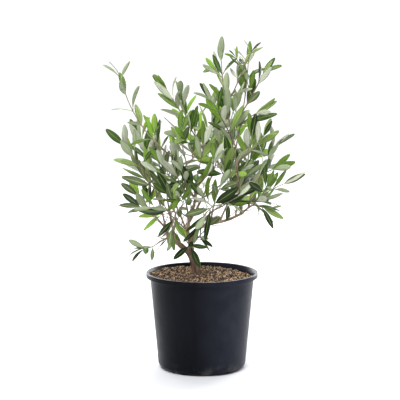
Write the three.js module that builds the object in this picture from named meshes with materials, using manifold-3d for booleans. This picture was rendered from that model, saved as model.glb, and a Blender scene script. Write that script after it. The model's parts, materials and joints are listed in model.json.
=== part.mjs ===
// Young olive tree in a round nursery pot. Millimetres, +Z up, +X to the right, +Y to the back.
// Origin: middle of the pot's flat underside.
//
// The pot and the soil are turned shapes. The trunk and the boughs are tapering tubes along smooth
// curves, each given by its reach from the point where it leaves its parent. Every bough ends where it
// enters a foliage mass: one stem with its shoots, side sprigs and opposite leaf pairs, each pair turned
// a quarter turn from the last, grown by a seeded rule and fused to one solid.

import * as THREE from 'three';
import { mergeVertices } from 'three/addons/utils/BufferGeometryUtils.js';
import Module from 'manifold-3d';

const wasm = await Module();
wasm.setup();

// ---- driving dimensions -------------------------------------------------------------------------
const GAP = 0.3;                 // clearance between touching pieces
const FINE = 0.05;               // edges shorter than this are closed up after a join

const POT_HEIGHT = 165;
const RIM_RADIUS = 95;           // outside of the rim's skirt
const RIM_SKIRT = 7.5;           // height of the skirt
const WALL = 1.6;
const POT_TOP_RADIUS = 88;       // outside of the wall just under the rim
const POT_FOOT_RADIUS = 74.4;    // outside of the wall just above the heel
const POT_BASE_RADIUS = 66.5;    // flat underside
const HEEL_HEIGHT = 7;
const POT_SEGMENTS = 44;
const HEEL_NOTCHES = 6;          // small drain notches in the heel
const NOTCH = { width: 11, height: 4, first: -55 };      // degrees from +X
const SLOT = { width: 12, bottom: 5, top: 25, at: -172 }; // two drain slots in the wall, opposite
const BASE_HOLES = { count: 5, radius: 5, ring: 42 };

const SOIL_EDGE = 158.5;         // soil height along the wall
const SOIL_CROWN = 160;          // soil height round the trunk
const SOIL_BASE = 2;             // underside of the soil, above the pot's floor
const SOIL_RISE = -0.035;        // slope across the pot: a little higher on the left

const TRUNK_BASE = [-9, 18, SOIL_CROWN + GAP];
const TRUNK_FLAT = 12;           // flat seat of the trunk on the soil
const TRUNK_FLARE = { size: 1.2, height: 0.16 };         // root flare: extra radius, share of length
const SIDES = { trunk: 14, bough: 6, stem: 3, sprig: 3 };
const STEP_LENGTH = { bough: 17, stem: 26, sprig: 16 };  // one ring of a tube every so many mm

const LEAF = { width: 0.28, thick: 1.2, belly: 0.45, bend: 0.1, sink: 0.4 };
const STEM_RADIUS = { base: 1.3, tip: 0.95, sprig: 1.0, sprigTip: 0.9 };
const SPRIG = { chance: 0.16, short: 16, long: 30, pairs: 2, leaf: 0.82 };
const SPREAD = { base: 0.72, tip: 0.36, jitter: 0.25 };    // leaf angle from its shoot, radians
const CHOICES = [[0, 1], [-0.35, 0.9], [0.35, 0.85]];    // lean and share of length tried in turn
const LEAF_ROLL = 1.8;           // how far leaves turn about their midrib
const FRONTING = 0.36;           // how far their blades turn to the light in front
const DROOP = 0.06;              // how far leaves sink from their own direction
const MARGIN = 44;               // a mass's space: this far round its shoots
const CLEAR = 0.9;               // least distance between leaves of two masses, and to limbs
const FLOOR = POT_HEIGHT + 3;    // nothing of the foliage comes lower than this

const COLOURS = {
  pot: 0x22242b, soil: 0x5d4938, trunk: 0x6f5a4a, bough: 0x86735c, leaves: 0x5f7f45,
};

// ---- limbs: name, parent, where on the parent, reach, bow, sway, first and last radius -----------
// A limb runs from its start by its reach; bow is how far its middle stands off the straight line,
// sway how far its quarters swing to either side.
const LIMBS = [
  ['trunk', null, 0, [-7, -5, 27.2], [0.5, 0.5, 0], [0, 0, 0], 7.2, 6.4],
  ['middle_bough', 'trunk', 1, [-4, -3, 26], [-0.5, -0.5, 0], [0, 0, 0], 4.6, 3.7],
  ['left_bough', 'trunk', 1, [-42, -13, 36.5], [2, 0.5, 3], [0, 0, 0], 4.8, 3.3],
  ['centre_bough', 'middle_bough', 1, [10.5, 14, 94.5], [-4.5, 1.5, -1.5], [-3.5, 0, -0.5], 3.3, 2.2],
  ['right_bough', 'middle_bough', 1, [86.5, -45, 57.5], [-7.5, -1.5, 8.5], [-2.5, 1, 4.5], 3.4, 2.2],
  ['upright_bough', 'right_bough', 1, [-14, 8, 104], [1.5, -1, 0.5], [-0.5, 0, 0], 1.9, 1.35],
  ['right_tip_bough', 'right_bough', 1, [15.5, -7, 14], [-0.5, 0, 0.5], [0, 0, 0], 1.9, 1.5],
  ['centre_right_bough', 'centre_bough', 1, [30.5, 8, 52], [4, 0.5, -2.5], [0, 0, 0], 2.1, 1.5],
  ['centre_left_bough', 'centre_bough', 0.8, [-16, -26, 60], [-3.5, -2.5, -2.5], [-1.5, -0.5, -1], 2.0, 1.5],
  ['back_bough', 'centre_bough', 0.36, [39.5, 45.5, 75], [1, 4.5, -3.5], [0, 0, 0], 1.9, 1.4],
  ['right_inner_bough', 'centre_bough', 0.74, [51.5, -26.5, 40], [0, -4, -3], [0, 0, 0], 1.7, 1.3],
  ['right_back_bough', 'right_bough', 0.31, [38, 12, 34.5], [-4.5, 0.5, 4.5], [0, 0, 0], 1.8, 1.4],
  ['inner_left_bough', 'centre_bough', 0.41, [-4.5, -29.5, 33.5], [0, -1, -0.5], [0, 0, 0], 1.8, 1.5],
  ['left_up_bough', 'left_bough', 1, [-17.5, -8, 74.5], [1, -1, 0], [0, 0, 0], 1.9, 1.4],
  ['left_out_bough', 'left_bough', 0.9, [-32, 19.5, 40], [3, 0.5, 1.5], [0, 0, 0], 1.8, 1.3],
  ['left_inner_bough', 'left_bough', 0.74, [-14, 22.5, 72], [-0.5, 2.5, -1], [0, 0, 0], 1.8, 1.4],
  ['low_left_bough', 'left_bough', 1, [-18.5, -10, -9], [0, 0, 1], [0, 0, 0], 1.4, 1.1],
  ['low_right_bough', 'middle_bough', 0.9, [14.5, -18, 16.5], [-1, -1, -0.5], [0, 0, 0], 1.3, 1.1],
  ['fork_twig', 'middle_bough', 0.8, [-1.5, -8, 3.5], [0, 0, 0], [0, 0, 0], 1.3, 1.1],
  ['back_left_bough', 'centre_bough', 0.16, [-34, 65, 68], [1, 1, -0.5], [0, 0, 0], 1.9, 1.4],
  ['back_right_bough', 'right_bough', 0.63, [27.5, 80.5, 43.5], [-2, 2.5, -3.5], [0, 0, 0], 1.9, 1.4],
  ['front_bough', 'centre_bough', 0.56, [5.5, -61.5, 43.5], [1.5, 0, -0.5], [0, 0, 0], 1.8, 1.4],
  ['left_shoot_bough', 'centre_left_bough', 0.9, [-43.5, -24, 40], [0, -1.5, -1], [0, 0, 0], 1.3, 1.1],
  ['top_left_bough', 'centre_right_bough', 0.74, [-21.5, 7.5, 38], [1, 0, 0.5], [0, 0, 0], 1.4, 1.15],
  ['top_right_bough', 'upright_bough', 0.91, [7, 8, 39], [-0.5, 0, 0], [0, 0, 0], 1.3, 1.1],
  ['right_side_bough', 'upright_bough', 0.78, [17.5, -4.5, 19.5], [-1, 0.5, 1], [0, 0, 0], 1.2, 1.0],
  ['right_up_bough', 'right_tip_bough', 0.72, [12, 3, 41.5], [-1.5, -1, 0.5], [0, 0, 0], 1.4, 1.1],
  ['front_left_bough', 'left_bough', 0.86, [7.5, -36, 45], [0.5, -1, -1], [0, 0, 0], 1.6, 1.3],
  ['front_right_bough', 'right_bough', 0.49, [3.5, -32.5, 31], [0, 1, 1], [0, 0, 0], 1.6, 1.3],
  ['low_back_bough', 'centre_bough', 0.23, [-25.5, 21.5, 19.5], [0, 0.5, -0.5], [0, 0, 0], 1.6, 1.3],
  ['right_rear_bough', 'right_bough', 0.9, [4.5, 41.5, 16.5], [-1, 0, -0.5], [0, 0, 0], 1.6, 1.3],
];

// ---- foliage masses: name, bough, seed, shoots, fruit --------------------------------------------
// Each shoot: where on the first shoot it starts, reach, bow, sway, leaf pairs, leaf length. The first
// shoot is the mass's stem. Each fruit: where on the stem, stalk, radius across, radius along.
const MASSES = [
  ['long_left_leaves', 'left_shoot_bough', 186, [
    [0, [-64, -24, 116], [-8.5, -2.5, -5], [0, 0.5, -0.5], 5, 37],
  ], []],
  ['centre_left_leaves', 'centre_left_bough', 255, [
    [0, [43, 10, 72], [6.5, 3, -4.5], [-0.5, 0, -0.5], 5, 42],
    [0.02, [-11, 3.5, 51.5], [-0.5, -1, 0], [0, 0, 0], 3, 42],
    [0.19, [-4, -18, 45.5], [0, -2.5, -1], [0, 0, 0], 3, 42],
  ], []],
  ['top_left_leaves', 'top_left_bough', 224, [
    [0, [-52.5, 10, 85.5], [0.5, 1, 0], [0, 0.5, 0], 6, 42],
    [0.36, [-10, -13, 49.5], [-1, -1.5, -0.5], [0, 0, 0], 3, 44],
  ], []],
  ['crown_leaves', 'centre_right_bough', 309, [
    [0, [18, -2, 75.5], [5, -1, -1], [-1.5, 0, 0.5], 4, 42],
    [0.13, [-29, 22.5, 43], [-3, 0, -2], [0.5, -0.5, 0.5], 3, 34],
    [0.3, [24, 29.5, 50.5], [2.5, 3.5, -3], [0, 0, 0], 3, 42],
    [0.18, [-9, -27, 62.5], [-2, -3, -1.5], [0, 0, 0], 3, 40],
  ], []],
  ['tall_leaves', 'upright_bough', 194, [
    [0, [-20.5, 9, 149], [-1.5, 1, 0], [1, 0, 0], 7, 42],
    [0.51, [39.5, -18.5, 88], [1, 1, -0.5], [0.5, 0.5, 0], 4, 26],
    [0.13, [-32, -20.5, 63], [1.5, -3, 0], [0, 0, 0], 4, 42],
  ], []],
  ['top_right_leaves', 'top_right_bough', 324, [
    [0, [15.5, 18, 114], [2, 2, -1], [0, 1.5, 0], 5, 44],
    [0.32, [32.5, 10.5, 59.5], [1, -2, -0.5], [0, 0, 0], 4, 40],
    [0.09, [26.5, -9.5, 23], [-1.5, -0.5, 1.5], [0, 0, 0], 2, 42],
  ], []],
  ['right_side_leaves', 'right_side_bough', 160, [
    [0, [26, -10, 28], [1, 0.5, -1], [0, 0, 0], 3, 34],
    [0, [9, -6, 40], [1.5, -1, 0], [0, 0, 0], 3, 38],
  ], []],
  ['right_leaves', 'right_tip_bough', 275, [
    [0, [17.5, -10, -0.5], [0, 0.5, 1.5], [0, 0, 0], 2, 42],
    [0.14, [49, -18, 38], [-4, -1.5, 2.5], [0, 0, 0], 4, 44],
  ], []],
  ['right_up_leaves', 'right_up_bough', 202, [
    [0, [28.5, 15, 53.5], [0.5, 1.5, -0.5], [0, 0, 0], 4, 42],
    [0.05, [24.5, -24, 22], [-3, -2, 1.5], [0, 0, 0], 3, 42],
  ], []],
  ['back_leaves', 'back_bough', 206, [
    [0, [13, 28, 88.5], [5.5, 1.5, -1], [0, 0, 0], 4, 42],
    [0.1, [-20, 30.5, 46], [-4.5, 1, -2.5], [0, 0, 0], 3, 42],
    [0.2, [35, 29.5, 41], [3.5, 3.5, -5], [0, 0, 0], 3, 42],
  ], []],
  ['right_inner_leaves', 'right_inner_bough', 171, [
    [0, [9, -3, 55.5], [4, -3, -1], [0, 0, 0], 4, 42],
    [0.08, [-16.5, -34, 46.5], [-3, -3, -3.5], [0, 0, 0], 3, 42],
  ], []],
  ['right_back_leaves', 'right_back_bough', 339, [
    [0, [35.5, 18, 45.5], [2, -0.5, -1.5], [0, 0, 0], 4, 42],
    [0.1, [2.5, 44.5, 45], [2.5, 3, -3], [0, 0, 0], 3, 42],
  ], []],
  ['inner_left_leaves', 'inner_left_bough', 101, [
    [0, [-21, -19.5, 87], [-2, -4, -1.5], [2, 0, 0.5], 5, 42],
    [0.4, [-25.5, -32, 32.5], [-1.5, -3, -4], [0, 0, 0], 3, 42],
    [0.05, [9, -16, 20], [1.5, -2, 0], [0, 0, 0], 3, 36],
  ], [[0.03, [-11, -6, -12], 5.2, 6.4]]],
  ['left_up_leaves', 'left_up_bough', 281, [
    [0, [-50.5, -19, 83.5], [2.5, 0, 1.5], [1.5, 1, 1.5], 5, 42],
    [0.32, [-13.5, 25, 61.5], [2, 5, -1.5], [0, 0, 0], 4, 44],
    [0.02, [15.5, -10, 24.5], [2.5, -1, -2], [0, 0, 0], 2, 32],
    [0.1, [-26, 6, 28], [-1, 1.5, -1], [0, 0, 0], 3, 42],
  ], []],
  ['left_out_leaves', 'left_out_bough', 181, [
    [0, [-23, 14, 27.5], [0, -0.5, 0], [0, 0, 0], 3, 40],
    [0.1, [-27, -5, 13], [0, -1, 1], [0, 0, 0], 3, 40],
  ], []],
  ['left_inner_leaves', 'left_inner_bough', 325, [
    [0, [-12.5, 24, 69], [1.5, 0.5, 0], [0, 0, 0], 4, 42],
    [0.11, [16.5, 23, 40.5], [4, 1.5, -2.5], [0, 0, 0], 3, 40],
    [0.62, [-14, -9.5, 64.5], [-1, 0, 0], [0, 0, 0], 4, 44],
  ], []],
  ['low_left_leaves', 'low_left_bough', 1302, [
    [0, [-20, -1, -7], [0, 0, -2], [0, 0, 0], 2, 31],
  ], [[0.8, [-2, -7, 2.5], 5.0, 6.0]]],
  ['low_right_leaves', 'low_right_bough', 118, [
    [0, [3, -4, -2], [0, 0, 0], [0, 0, 0], 1, 28],
    [0, [22, -20, 31.5], [1.5, -1, 0], [0, 0, 0], 1, 36],
  ], []],
  ['fork_leaves', 'fork_twig', 559, [
    [0, [2, -12, -2], [0, -1, 0.5], [0, 0, 0], 2, 38],
  ], []],
  ['back_left_leaves', 'back_left_bough', 27, [
    [0, [-23, 27.5, 63], [-1, 3, -2], [0, 0, 0], 4, 42],
    [0.16, [16, 27.5, 57], [0, 4.5, -2], [0, 0, 0], 3, 42],
  ], []],
  ['back_right_leaves', 'back_right_bough', 285, [
    [0, [18, 29.5, 62.5], [3.5, 3, -2.5], [0, 0, 0], 4, 42],
    [0.13, [34.5, 12.5, 48], [3, 0, -2], [0, 0, 0], 3, 42],
  ], []],
  ['front_leaves', 'front_bough', 200, [
    [0, [15, -35.5, 82.5], [-1, -4, -1.5], [0, 0, 0], 4, 42],
    [0.04, [-21.5, -29.5, 34.5], [-3, -3, -4.5], [0, 0, 0], 3, 40],
    [0.16, [29.5, -34, 41], [2, -3.5, -4], [0, 0, 0], 3, 40],
  ], [[0.42, [-3, -8, -1], 5.2, 6.5], [0.02, [-10, -8, -11], 5.0, 6.4]]],
  ['front_left_leaves', 'front_left_bough', 285, [
    [0, [-16, -24, 55], [2, -1.5, 0], [0, 0, 0], 4, 42],
    [0.1, [18, -25, 42], [3, -3, -3], [0, 0, 0], 3, 42],
    [0.16, [-36.5, -13.5, 10.5], [0, -1.5, -1.5], [0, 0, 0], 2, 42],
    [0.12, [-6, -15, -26], [0, -1.5, 0], [0, 0, 0], 2, 38],
  ], []],
  ['front_right_leaves', 'front_right_bough', 366, [
    [0, [16, -24, 49], [-1.5, -2, -0.5], [0, 0, 0], 4, 42],
    [0.09, [38.5, -17, 17.5], [0, -2, -2.5], [0, 0, 0], 3, 42],
    [0.06, [-20.5, -20, 31], [-3, -1.5, -3], [0, 0, 0], 3, 42],
    [0.12, [-22, -8, -28], [-1, -1.5, 2], [0, 0, 0], 3, 40],
  ], []],
  ['low_back_leaves', 'low_back_bough', 271, [
    [0, [-22.5, 14, 40.5], [-3, 1.5, -2], [0, 0, 0], 4, 42],
    [0.1, [11.5, 28, 40], [1.5, 2.5, -2], [0, 0, 0], 3, 42],
    [0.19, [-35, -3.5, 6.5], [-1, 2.5, -4.5], [0, 0, 0], 2, 42],
    [0.14, [6, 8, -30], [1, 1.5, 0], [0, 0, 0], 2, 38],
  ], []],
  ['right_rear_leaves', 'right_rear_bough', 376, [
    [0, [28, 24, 29.5], [-0.5, 3, -1.5], [0, 0, 0], 4, 42],
    [0.08, [37.5, 9, 0], [0, 0.5, -3], [0, 0, 0], 3, 42],
    [0.08, [-15.5, 31, 36.5], [-1.5, 3.5, -3.5], [0, 0, 0], 3, 42],
  ], []],
];

// ---- vectors and solids -------------------------------------------------------------------------
const V = (x, y, z) => new THREE.Vector3(x, y, z);
const vec = (a) => V(a[0], a[1], a[2]);
const UP = V(0, 0, 1);

function solidOf(geometry) {
  const bare = geometry.index ? geometry : geometry.clone();
  bare.deleteAttribute('normal');
  bare.deleteAttribute('uv');
  const merged = mergeVertices(bare, 1e-4);
  return new wasm.Manifold(new wasm.Mesh({
    numProp: 3,
    vertProperties: new Float32Array(merged.attributes.position.array),
    triVerts: new Uint32Array(merged.index.array),
  }));
}

function geometryOf(solid) {
  const mesh = solid.getMesh();
  const geometry = new THREE.BufferGeometry();
  geometry.setAttribute('position', new THREE.BufferAttribute(new Float32Array(mesh.vertProperties), 3));
  geometry.setIndex(new THREE.BufferAttribute(new Uint32Array(mesh.triVerts), 1));
  geometry.computeVertexNormals();
  return geometry;
}

// the largest of a solid's separate bodies
function largest(solid) {
  return solid.decompose().reduce((best, body) => (body.volume() > best.volume() ? body : best));
}

// ---- curves and tubes ---------------------------------------------------------------------------
function curveOf(start, reach, bow, sway) {
  const [s, r, b, w] = [start, vec(reach), vec(bow), vec(sway)];
  const at = (t) => s.clone().addScaledVector(r, t).addScaledVector(b, 4 * t * (1 - t))
    .addScaledVector(w, Math.sin(2 * Math.PI * t));
  const along = (t) => at(Math.min(t + 0.01, 1)).sub(at(Math.max(t - 0.01, 0))).normalize();
  return { at, along, length: r.length() };
}

// rings along a curve: centre, direction and two cross directions carried on without twist
function ringsOf(curve, steps, firstAlong) {
  const rings = [];
  let across = null;
  for (let i = 0; i <= steps; i += 1) {
    const t = i / steps;
    const along = i === 0 && firstAlong ? firstAlong.clone() : curve.along(t);
    if (!across) across = Math.abs(along.x) < 0.8 ? V(1, 0, 0) : V(0, 1, 0);
    across = across.clone().addScaledVector(along, -across.dot(along)).normalize();
    rings.push({ t, centre: curve.at(t), along, across, side: across.clone().cross(along) });
  }
  return rings;
}

// closed tube with the radius given as a function of t; grow widens it and lengthens both its ends
function tubeOf(rings, sides, radius, grow = 0) {
  const steps = rings.length - 1;
  const geometry = new THREE.CylinderGeometry(1, 1, 1, sides, steps);
  const place = geometry.attributes.position;
  for (let i = 0; i < place.count; i += 1) {
    const ring = rings[Math.round((place.getY(i) + 0.5) * steps)];
    const r = radius(ring.t) + grow;
    const end = ring.t === 0 ? -grow : ring.t === 1 ? grow : 0;
    const p = ring.centre.clone().addScaledVector(ring.across, place.getX(i) * r)
      .addScaledVector(ring.side, place.getZ(i) * r).addScaledVector(ring.along, end);
    place.setXYZ(i, p.x, p.y, p.z);
  }
  return solidOf(geometry);
}

const taper = (from, to) => (t) => from + (to - from) * t;

// ---- pot and soil -------------------------------------------------------------------------------
function lathe(profile, segments) {
  const points = profile.map(([r, z]) => new THREE.Vector2(r, z));
  const turned = new THREE.LatheGeometry(points, segments);
  turned.rotateX(Math.PI / 2);
  return turned;
}

const wallRadius = (z) => POT_FOOT_RADIUS
  + (POT_TOP_RADIUS - POT_FOOT_RADIUS) * (z - HEEL_HEIGHT) / (POT_HEIGHT - 13 - HEEL_HEIGHT);

function potSolid() {
  const top = POT_HEIGHT;
  const skirtIn = RIM_RADIUS - WALL;
  const under = top - 13;
  const floor = WALL + 0.6;
  const profile = [
    [0, 0], [POT_BASE_RADIUS, 0], [POT_BASE_RADIUS + 4.2, 1.8], [POT_FOOT_RADIUS, HEEL_HEIGHT],
    [wallRadius(under), under], [POT_TOP_RADIUS + 1.8, top - 5.4], [skirtIn, top - 3.4],
    [skirtIn, top - RIM_SKIRT], [RIM_RADIUS, top - RIM_SKIRT], [RIM_RADIUS, top - 1.2],
    [RIM_RADIUS - 1.2, top], [RIM_RADIUS - 3.4, top], [RIM_RADIUS - 4.6, top - 1.2],
    [POT_TOP_RADIUS - 0.6, top - 7], [wallRadius(under) - WALL, under - 2],
    [POT_FOOT_RADIUS - WALL, HEEL_HEIGHT + 0.5], [POT_BASE_RADIUS + 2.6, floor + 0.9],
    [POT_BASE_RADIUS - 0.6, floor], [0, floor],
  ];
  let pot = solidOf(lathe(profile, POT_SEGMENTS));
  const cutAt = (geometry, degrees, radius, z) => {
    geometry.translate(radius, 0, z);
    geometry.rotateZ(THREE.MathUtils.degToRad(degrees));
    pot = pot.subtract(solidOf(geometry));
  };
  for (let i = 0; i < HEEL_NOTCHES; i += 1) {
    const notch = new THREE.BoxGeometry(9, NOTCH.width, 2 * NOTCH.height);
    cutAt(notch, NOTCH.first + i * 360 / HEEL_NOTCHES, POT_FOOT_RADIUS - 1, 0);
  }
  for (let i = 0; i < 2; i += 1) {
    const slot = new THREE.BoxGeometry(12, SLOT.width, SLOT.top - SLOT.bottom);
    cutAt(slot, SLOT.at + 180 * i, POT_FOOT_RADIUS, (SLOT.top + SLOT.bottom) / 2);
  }
  for (let i = 0; i < BASE_HOLES.count; i += 1) {
    const hole = new THREE.CylinderGeometry(BASE_HOLES.radius, BASE_HOLES.radius, 10, 8);
    hole.rotateX(Math.PI / 2);
    cutAt(hole, 30 + i * 360 / BASE_HOLES.count, BASE_HOLES.ring, 0);
  }
  return pot;
}

// soil height at a point: level round the trunk, falling away to the wall, a slight slope across
function soilHeight(x, y) {
  const fromTrunk = Math.hypot(x - TRUNK_BASE[0], y - TRUNK_BASE[1]);
  const share = Math.min(Math.max((fromTrunk - TRUNK_FLAT) / 78, 0), 1);
  const bumps = 1.1 * Math.sin(x * 0.13 + 1) * Math.cos(y * 0.16) * Math.min(share * 5, 1);
  return SOIL_CROWN + (SOIL_EDGE - SOIL_CROWN) * share ** 1.3 + SOIL_RISE * x * Math.min(share * 2, 1)
    + bumps;
}

function soilSolid() {
  const bottom = WALL + 0.6 + SOIL_BASE;
  const inside = (z) => wallRadius(z) - WALL - GAP - 0.5;
  const profile = [[0, bottom], [POT_BASE_RADIUS - 2, bottom], [inside(HEEL_HEIGHT + 3), HEEL_HEIGHT + 3],
    [inside(SOIL_EDGE - 9), SOIL_EDGE - 9]];
  for (let i = 0; i <= 5; i += 1) {
    profile.push([(inside(SOIL_EDGE) - 1.2) * (1 - i / 5), SOIL_EDGE - 1]);
  }
  const soil = lathe(profile, 32);
  // the flat top is centred on the trunk's seat and lifted to the soil's height
  const rimOfSoil = inside(SOIL_EDGE) - 1.2;
  const place = soil.attributes.position;
  for (let i = 0; i < place.count; i += 1) {
    if (place.getZ(i) < SOIL_EDGE - 2) continue;
    const inward = 1 - Math.hypot(place.getX(i), place.getY(i)) / rimOfSoil;
    const x = place.getX(i) + TRUNK_BASE[0] * inward;
    const y = place.getY(i) + TRUNK_BASE[1] * inward;
    place.setXYZ(i, x, y, soilHeight(x, y));
  }
  // a level seat under the trunk
  const seat = new THREE.CylinderGeometry(TRUNK_FLAT + 1, TRUNK_FLAT + 1, 12, 24);
  seat.rotateX(Math.PI / 2);
  const below = seat.clone().translate(TRUNK_BASE[0], TRUNK_BASE[1], SOIL_CROWN - 6);
  const above = seat.clone().translate(TRUNK_BASE[0], TRUNK_BASE[1], SOIL_CROWN + 6);
  return solidOf(soil).add(solidOf(below)).subtract(solidOf(above));
}

// ---- trunk and boughs ---------------------------------------------------------------------------
function growLimbs() {
  const limbs = {};
  for (const [name, parent, from, reach, bow, sway, first, last] of LIMBS) {
    const start = parent ? limbs[parent].curve.at(from) : vec(TRUNK_BASE);
    const curve = curveOf(start, reach, bow, sway);
    const trunk = name === 'trunk';
    const steps = trunk ? 7 : Math.max(2, Math.round(curve.length / STEP_LENGTH.bough));
    const rings = ringsOf(curve, steps, trunk ? UP : null);
    const flare = (t) => TRUNK_FLARE.size * Math.exp(-t / TRUNK_FLARE.height);
    const swell = (t) => 0.5 * Math.exp(-(((t - 1) / 0.25) ** 2));
    const even = taper(first, last);
    const radius = trunk ? (t) => even(t) + flare(t) + swell(t) : even;
    const sides = trunk ? SIDES.trunk : SIDES.bough;
    let solid = tubeOf(rings, sides, radius);
    for (const other of Object.values(limbs)) {
      const room = tubeOf(other.rings, other.sides, other.radius, GAP + 0.05);
      if (solid.intersect(room).volume() < 1e-3) continue;
      solid = largest(solid.subtract(room).asOriginal().simplify(FINE));
    }
    limbs[name] = { name, curve, rings, radius, sides, solid };
  }
  return limbs;
}

// ---- distances between leaves, twigs and limbs ----------------------------------------------------
// Every leaf is a flat outline of four corners and every twig piece a line of two, so one function
// tells how far two of them are apart.
function linesApart(a, b, c, d) {
  const u = b.clone().sub(a);
  const v = d.clone().sub(c);
  const w = a.clone().sub(c);
  const [uu, uv, vv, uw, vw] = [u.dot(u), u.dot(v), v.dot(v), u.dot(w), v.dot(w)];
  const den = uu * vv - uv * uv;
  let s = den > 1e-9 ? Math.min(Math.max((uv * vw - vv * uw) / den, 0), 1) : 0;
  let t = vv > 1e-9 ? (uv * s + vw) / vv : 0;
  t = Math.min(Math.max(t, 0), 1);
  s = uu > 1e-9 ? Math.min(Math.max((uv * t - uw) / uu, 0), 1) : 0;
  return w.addScaledVector(u, s).addScaledVector(v, -t).length();
}

function pointOver(p, shape) {
  const { corners, normal } = shape;
  const lift = p.clone().sub(corners[0]).dot(normal);
  const foot = p.clone().addScaledVector(normal, -lift);
  for (let i = 0; i < corners.length; i += 1) {
    const edge = corners[(i + 1) % corners.length].clone().sub(corners[i]);
    if (edge.cross(foot.clone().sub(corners[i])).dot(normal) < 0) return null;
  }
  return lift;
}

function lineThrough(a, b, shape) {
  const from = pointOver(a, shape);
  const to = pointOver(b, shape);
  const least = Math.min(from === null ? Infinity : Math.abs(from), to === null ? Infinity : Math.abs(to));
  const la = a.clone().sub(shape.corners[0]).dot(shape.normal);
  const lb = b.clone().sub(shape.corners[0]).dot(shape.normal);
  if (la * lb < 0) {
    const cross = a.clone().lerp(b, la / (la - lb));
    if (pointOver(cross, shape) !== null) return 0;
  }
  return least;
}

function apart(one, two) {
  const away = one.middle.distanceTo(two.middle) - one.size - two.size;
  if (away > 3) return away;
  let least = Infinity;
  const edges = (shape) => (shape.corners.length === 2 ? 1 : 4);
  for (let i = 0; i < edges(one); i += 1) {
    const [a, b] = [one.corners[i], one.corners[(i + 1) % one.corners.length]];
    for (let j = 0; j < edges(two); j += 1) {
      least = Math.min(least, linesApart(a, b, two.corners[j], two.corners[(j + 1) % two.corners.length]));
    }
    if (two.normal) least = Math.min(least, lineThrough(a, b, two));
  }
  if (one.normal) {
    for (let j = 0; j < edges(two); j += 1) {
      const next = two.corners[(j + 1) % two.corners.length];
      least = Math.min(least, lineThrough(two.corners[j], next, one));
    }
  }
  return least - one.radius - two.radius;
}

function lineShape(a, b, radius) {
  return { corners: [a, b], normal: null, radius, middle: a.clone().lerp(b, 0.5), size: a.distanceTo(b) / 2 };
}

const piecesOf = (rings, radius) => rings.slice(1)
  .map((ring, i) => lineShape(rings[i].centre, ring.centre, radius(rings[i].t)));

// ---- leaves -------------------------------------------------------------------------------------
// A leaf is a slim blade with a keel below: its foot inside the twig, its belly short of the middle and
// its tip bent a little to its underside.
function leafSolid(root, forward, face, length, width) {
  const side = forward.clone().cross(face);
  const bent = (along) => -LEAF.bend * length * (along / length) ** 2;
  const foot = root.clone().addScaledVector(forward, -LEAF.sink);
  const belly = root.clone().addScaledVector(forward, LEAF.belly * length)
    .addScaledVector(face, bent(LEAF.belly * length));
  const tip = root.clone().addScaledVector(forward, length).addScaledVector(face, bent(length));
  const points = [
    foot,
    belly.clone().addScaledVector(side, width / 2).addScaledVector(face, LEAF.thick / 3),
    belly.clone().addScaledVector(side, -width / 2).addScaledVector(face, LEAF.thick / 3),
    belly.clone().addScaledVector(face, -LEAF.thick * 2 / 3),
    tip,
  ];
  const faces = [0, 1, 2, 0, 2, 3, 0, 3, 1, 1, 4, 2, 2, 4, 3, 3, 4, 1];
  const geometry = new THREE.BufferGeometry();
  const flat = new Float32Array(points.flatMap((p) => [p.x, p.y, p.z]));
  geometry.setAttribute('position', new THREE.BufferAttribute(flat, 3));
  geometry.setIndex(faces);
  return solidOf(geometry);
}

function leafShape(root, forward, face, length, width) {
  const side = forward.clone().cross(face);
  const belly = root.clone().addScaledVector(forward, LEAF.belly * length);
  const corners = [
    root.clone(),
    belly.clone().addScaledVector(side, -width / 2),
    root.clone().addScaledVector(forward, length).addScaledVector(face, -LEAF.bend * length),
    belly.clone().addScaledVector(side, width / 2),
  ];
  const normal = corners[1].clone().sub(corners[3]).cross(corners[2].clone().sub(corners[0])).normalize();
  const middle = root.clone().addScaledVector(forward, length / 2);
  return { corners, normal, radius: LEAF.thick * 0.7, middle, size: length / 2 + 2 };
}

// ---- foliage masses -----------------------------------------------------------------------------
// repeatable random numbers from 0 to 1
function seeded(seed) {
  let state = (seed * 7919) >>> 0;
  return () => {
    state = (state + 0x6d2b79f5) >>> 0;
    let n = Math.imul(state ^ (state >>> 15), 1 | state);
    n = (n + Math.imul(n ^ (n >>> 7), 61 | n)) ^ n;
    return ((n ^ (n >>> 14)) >>> 0) / 4294967296;
  };
}

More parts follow.
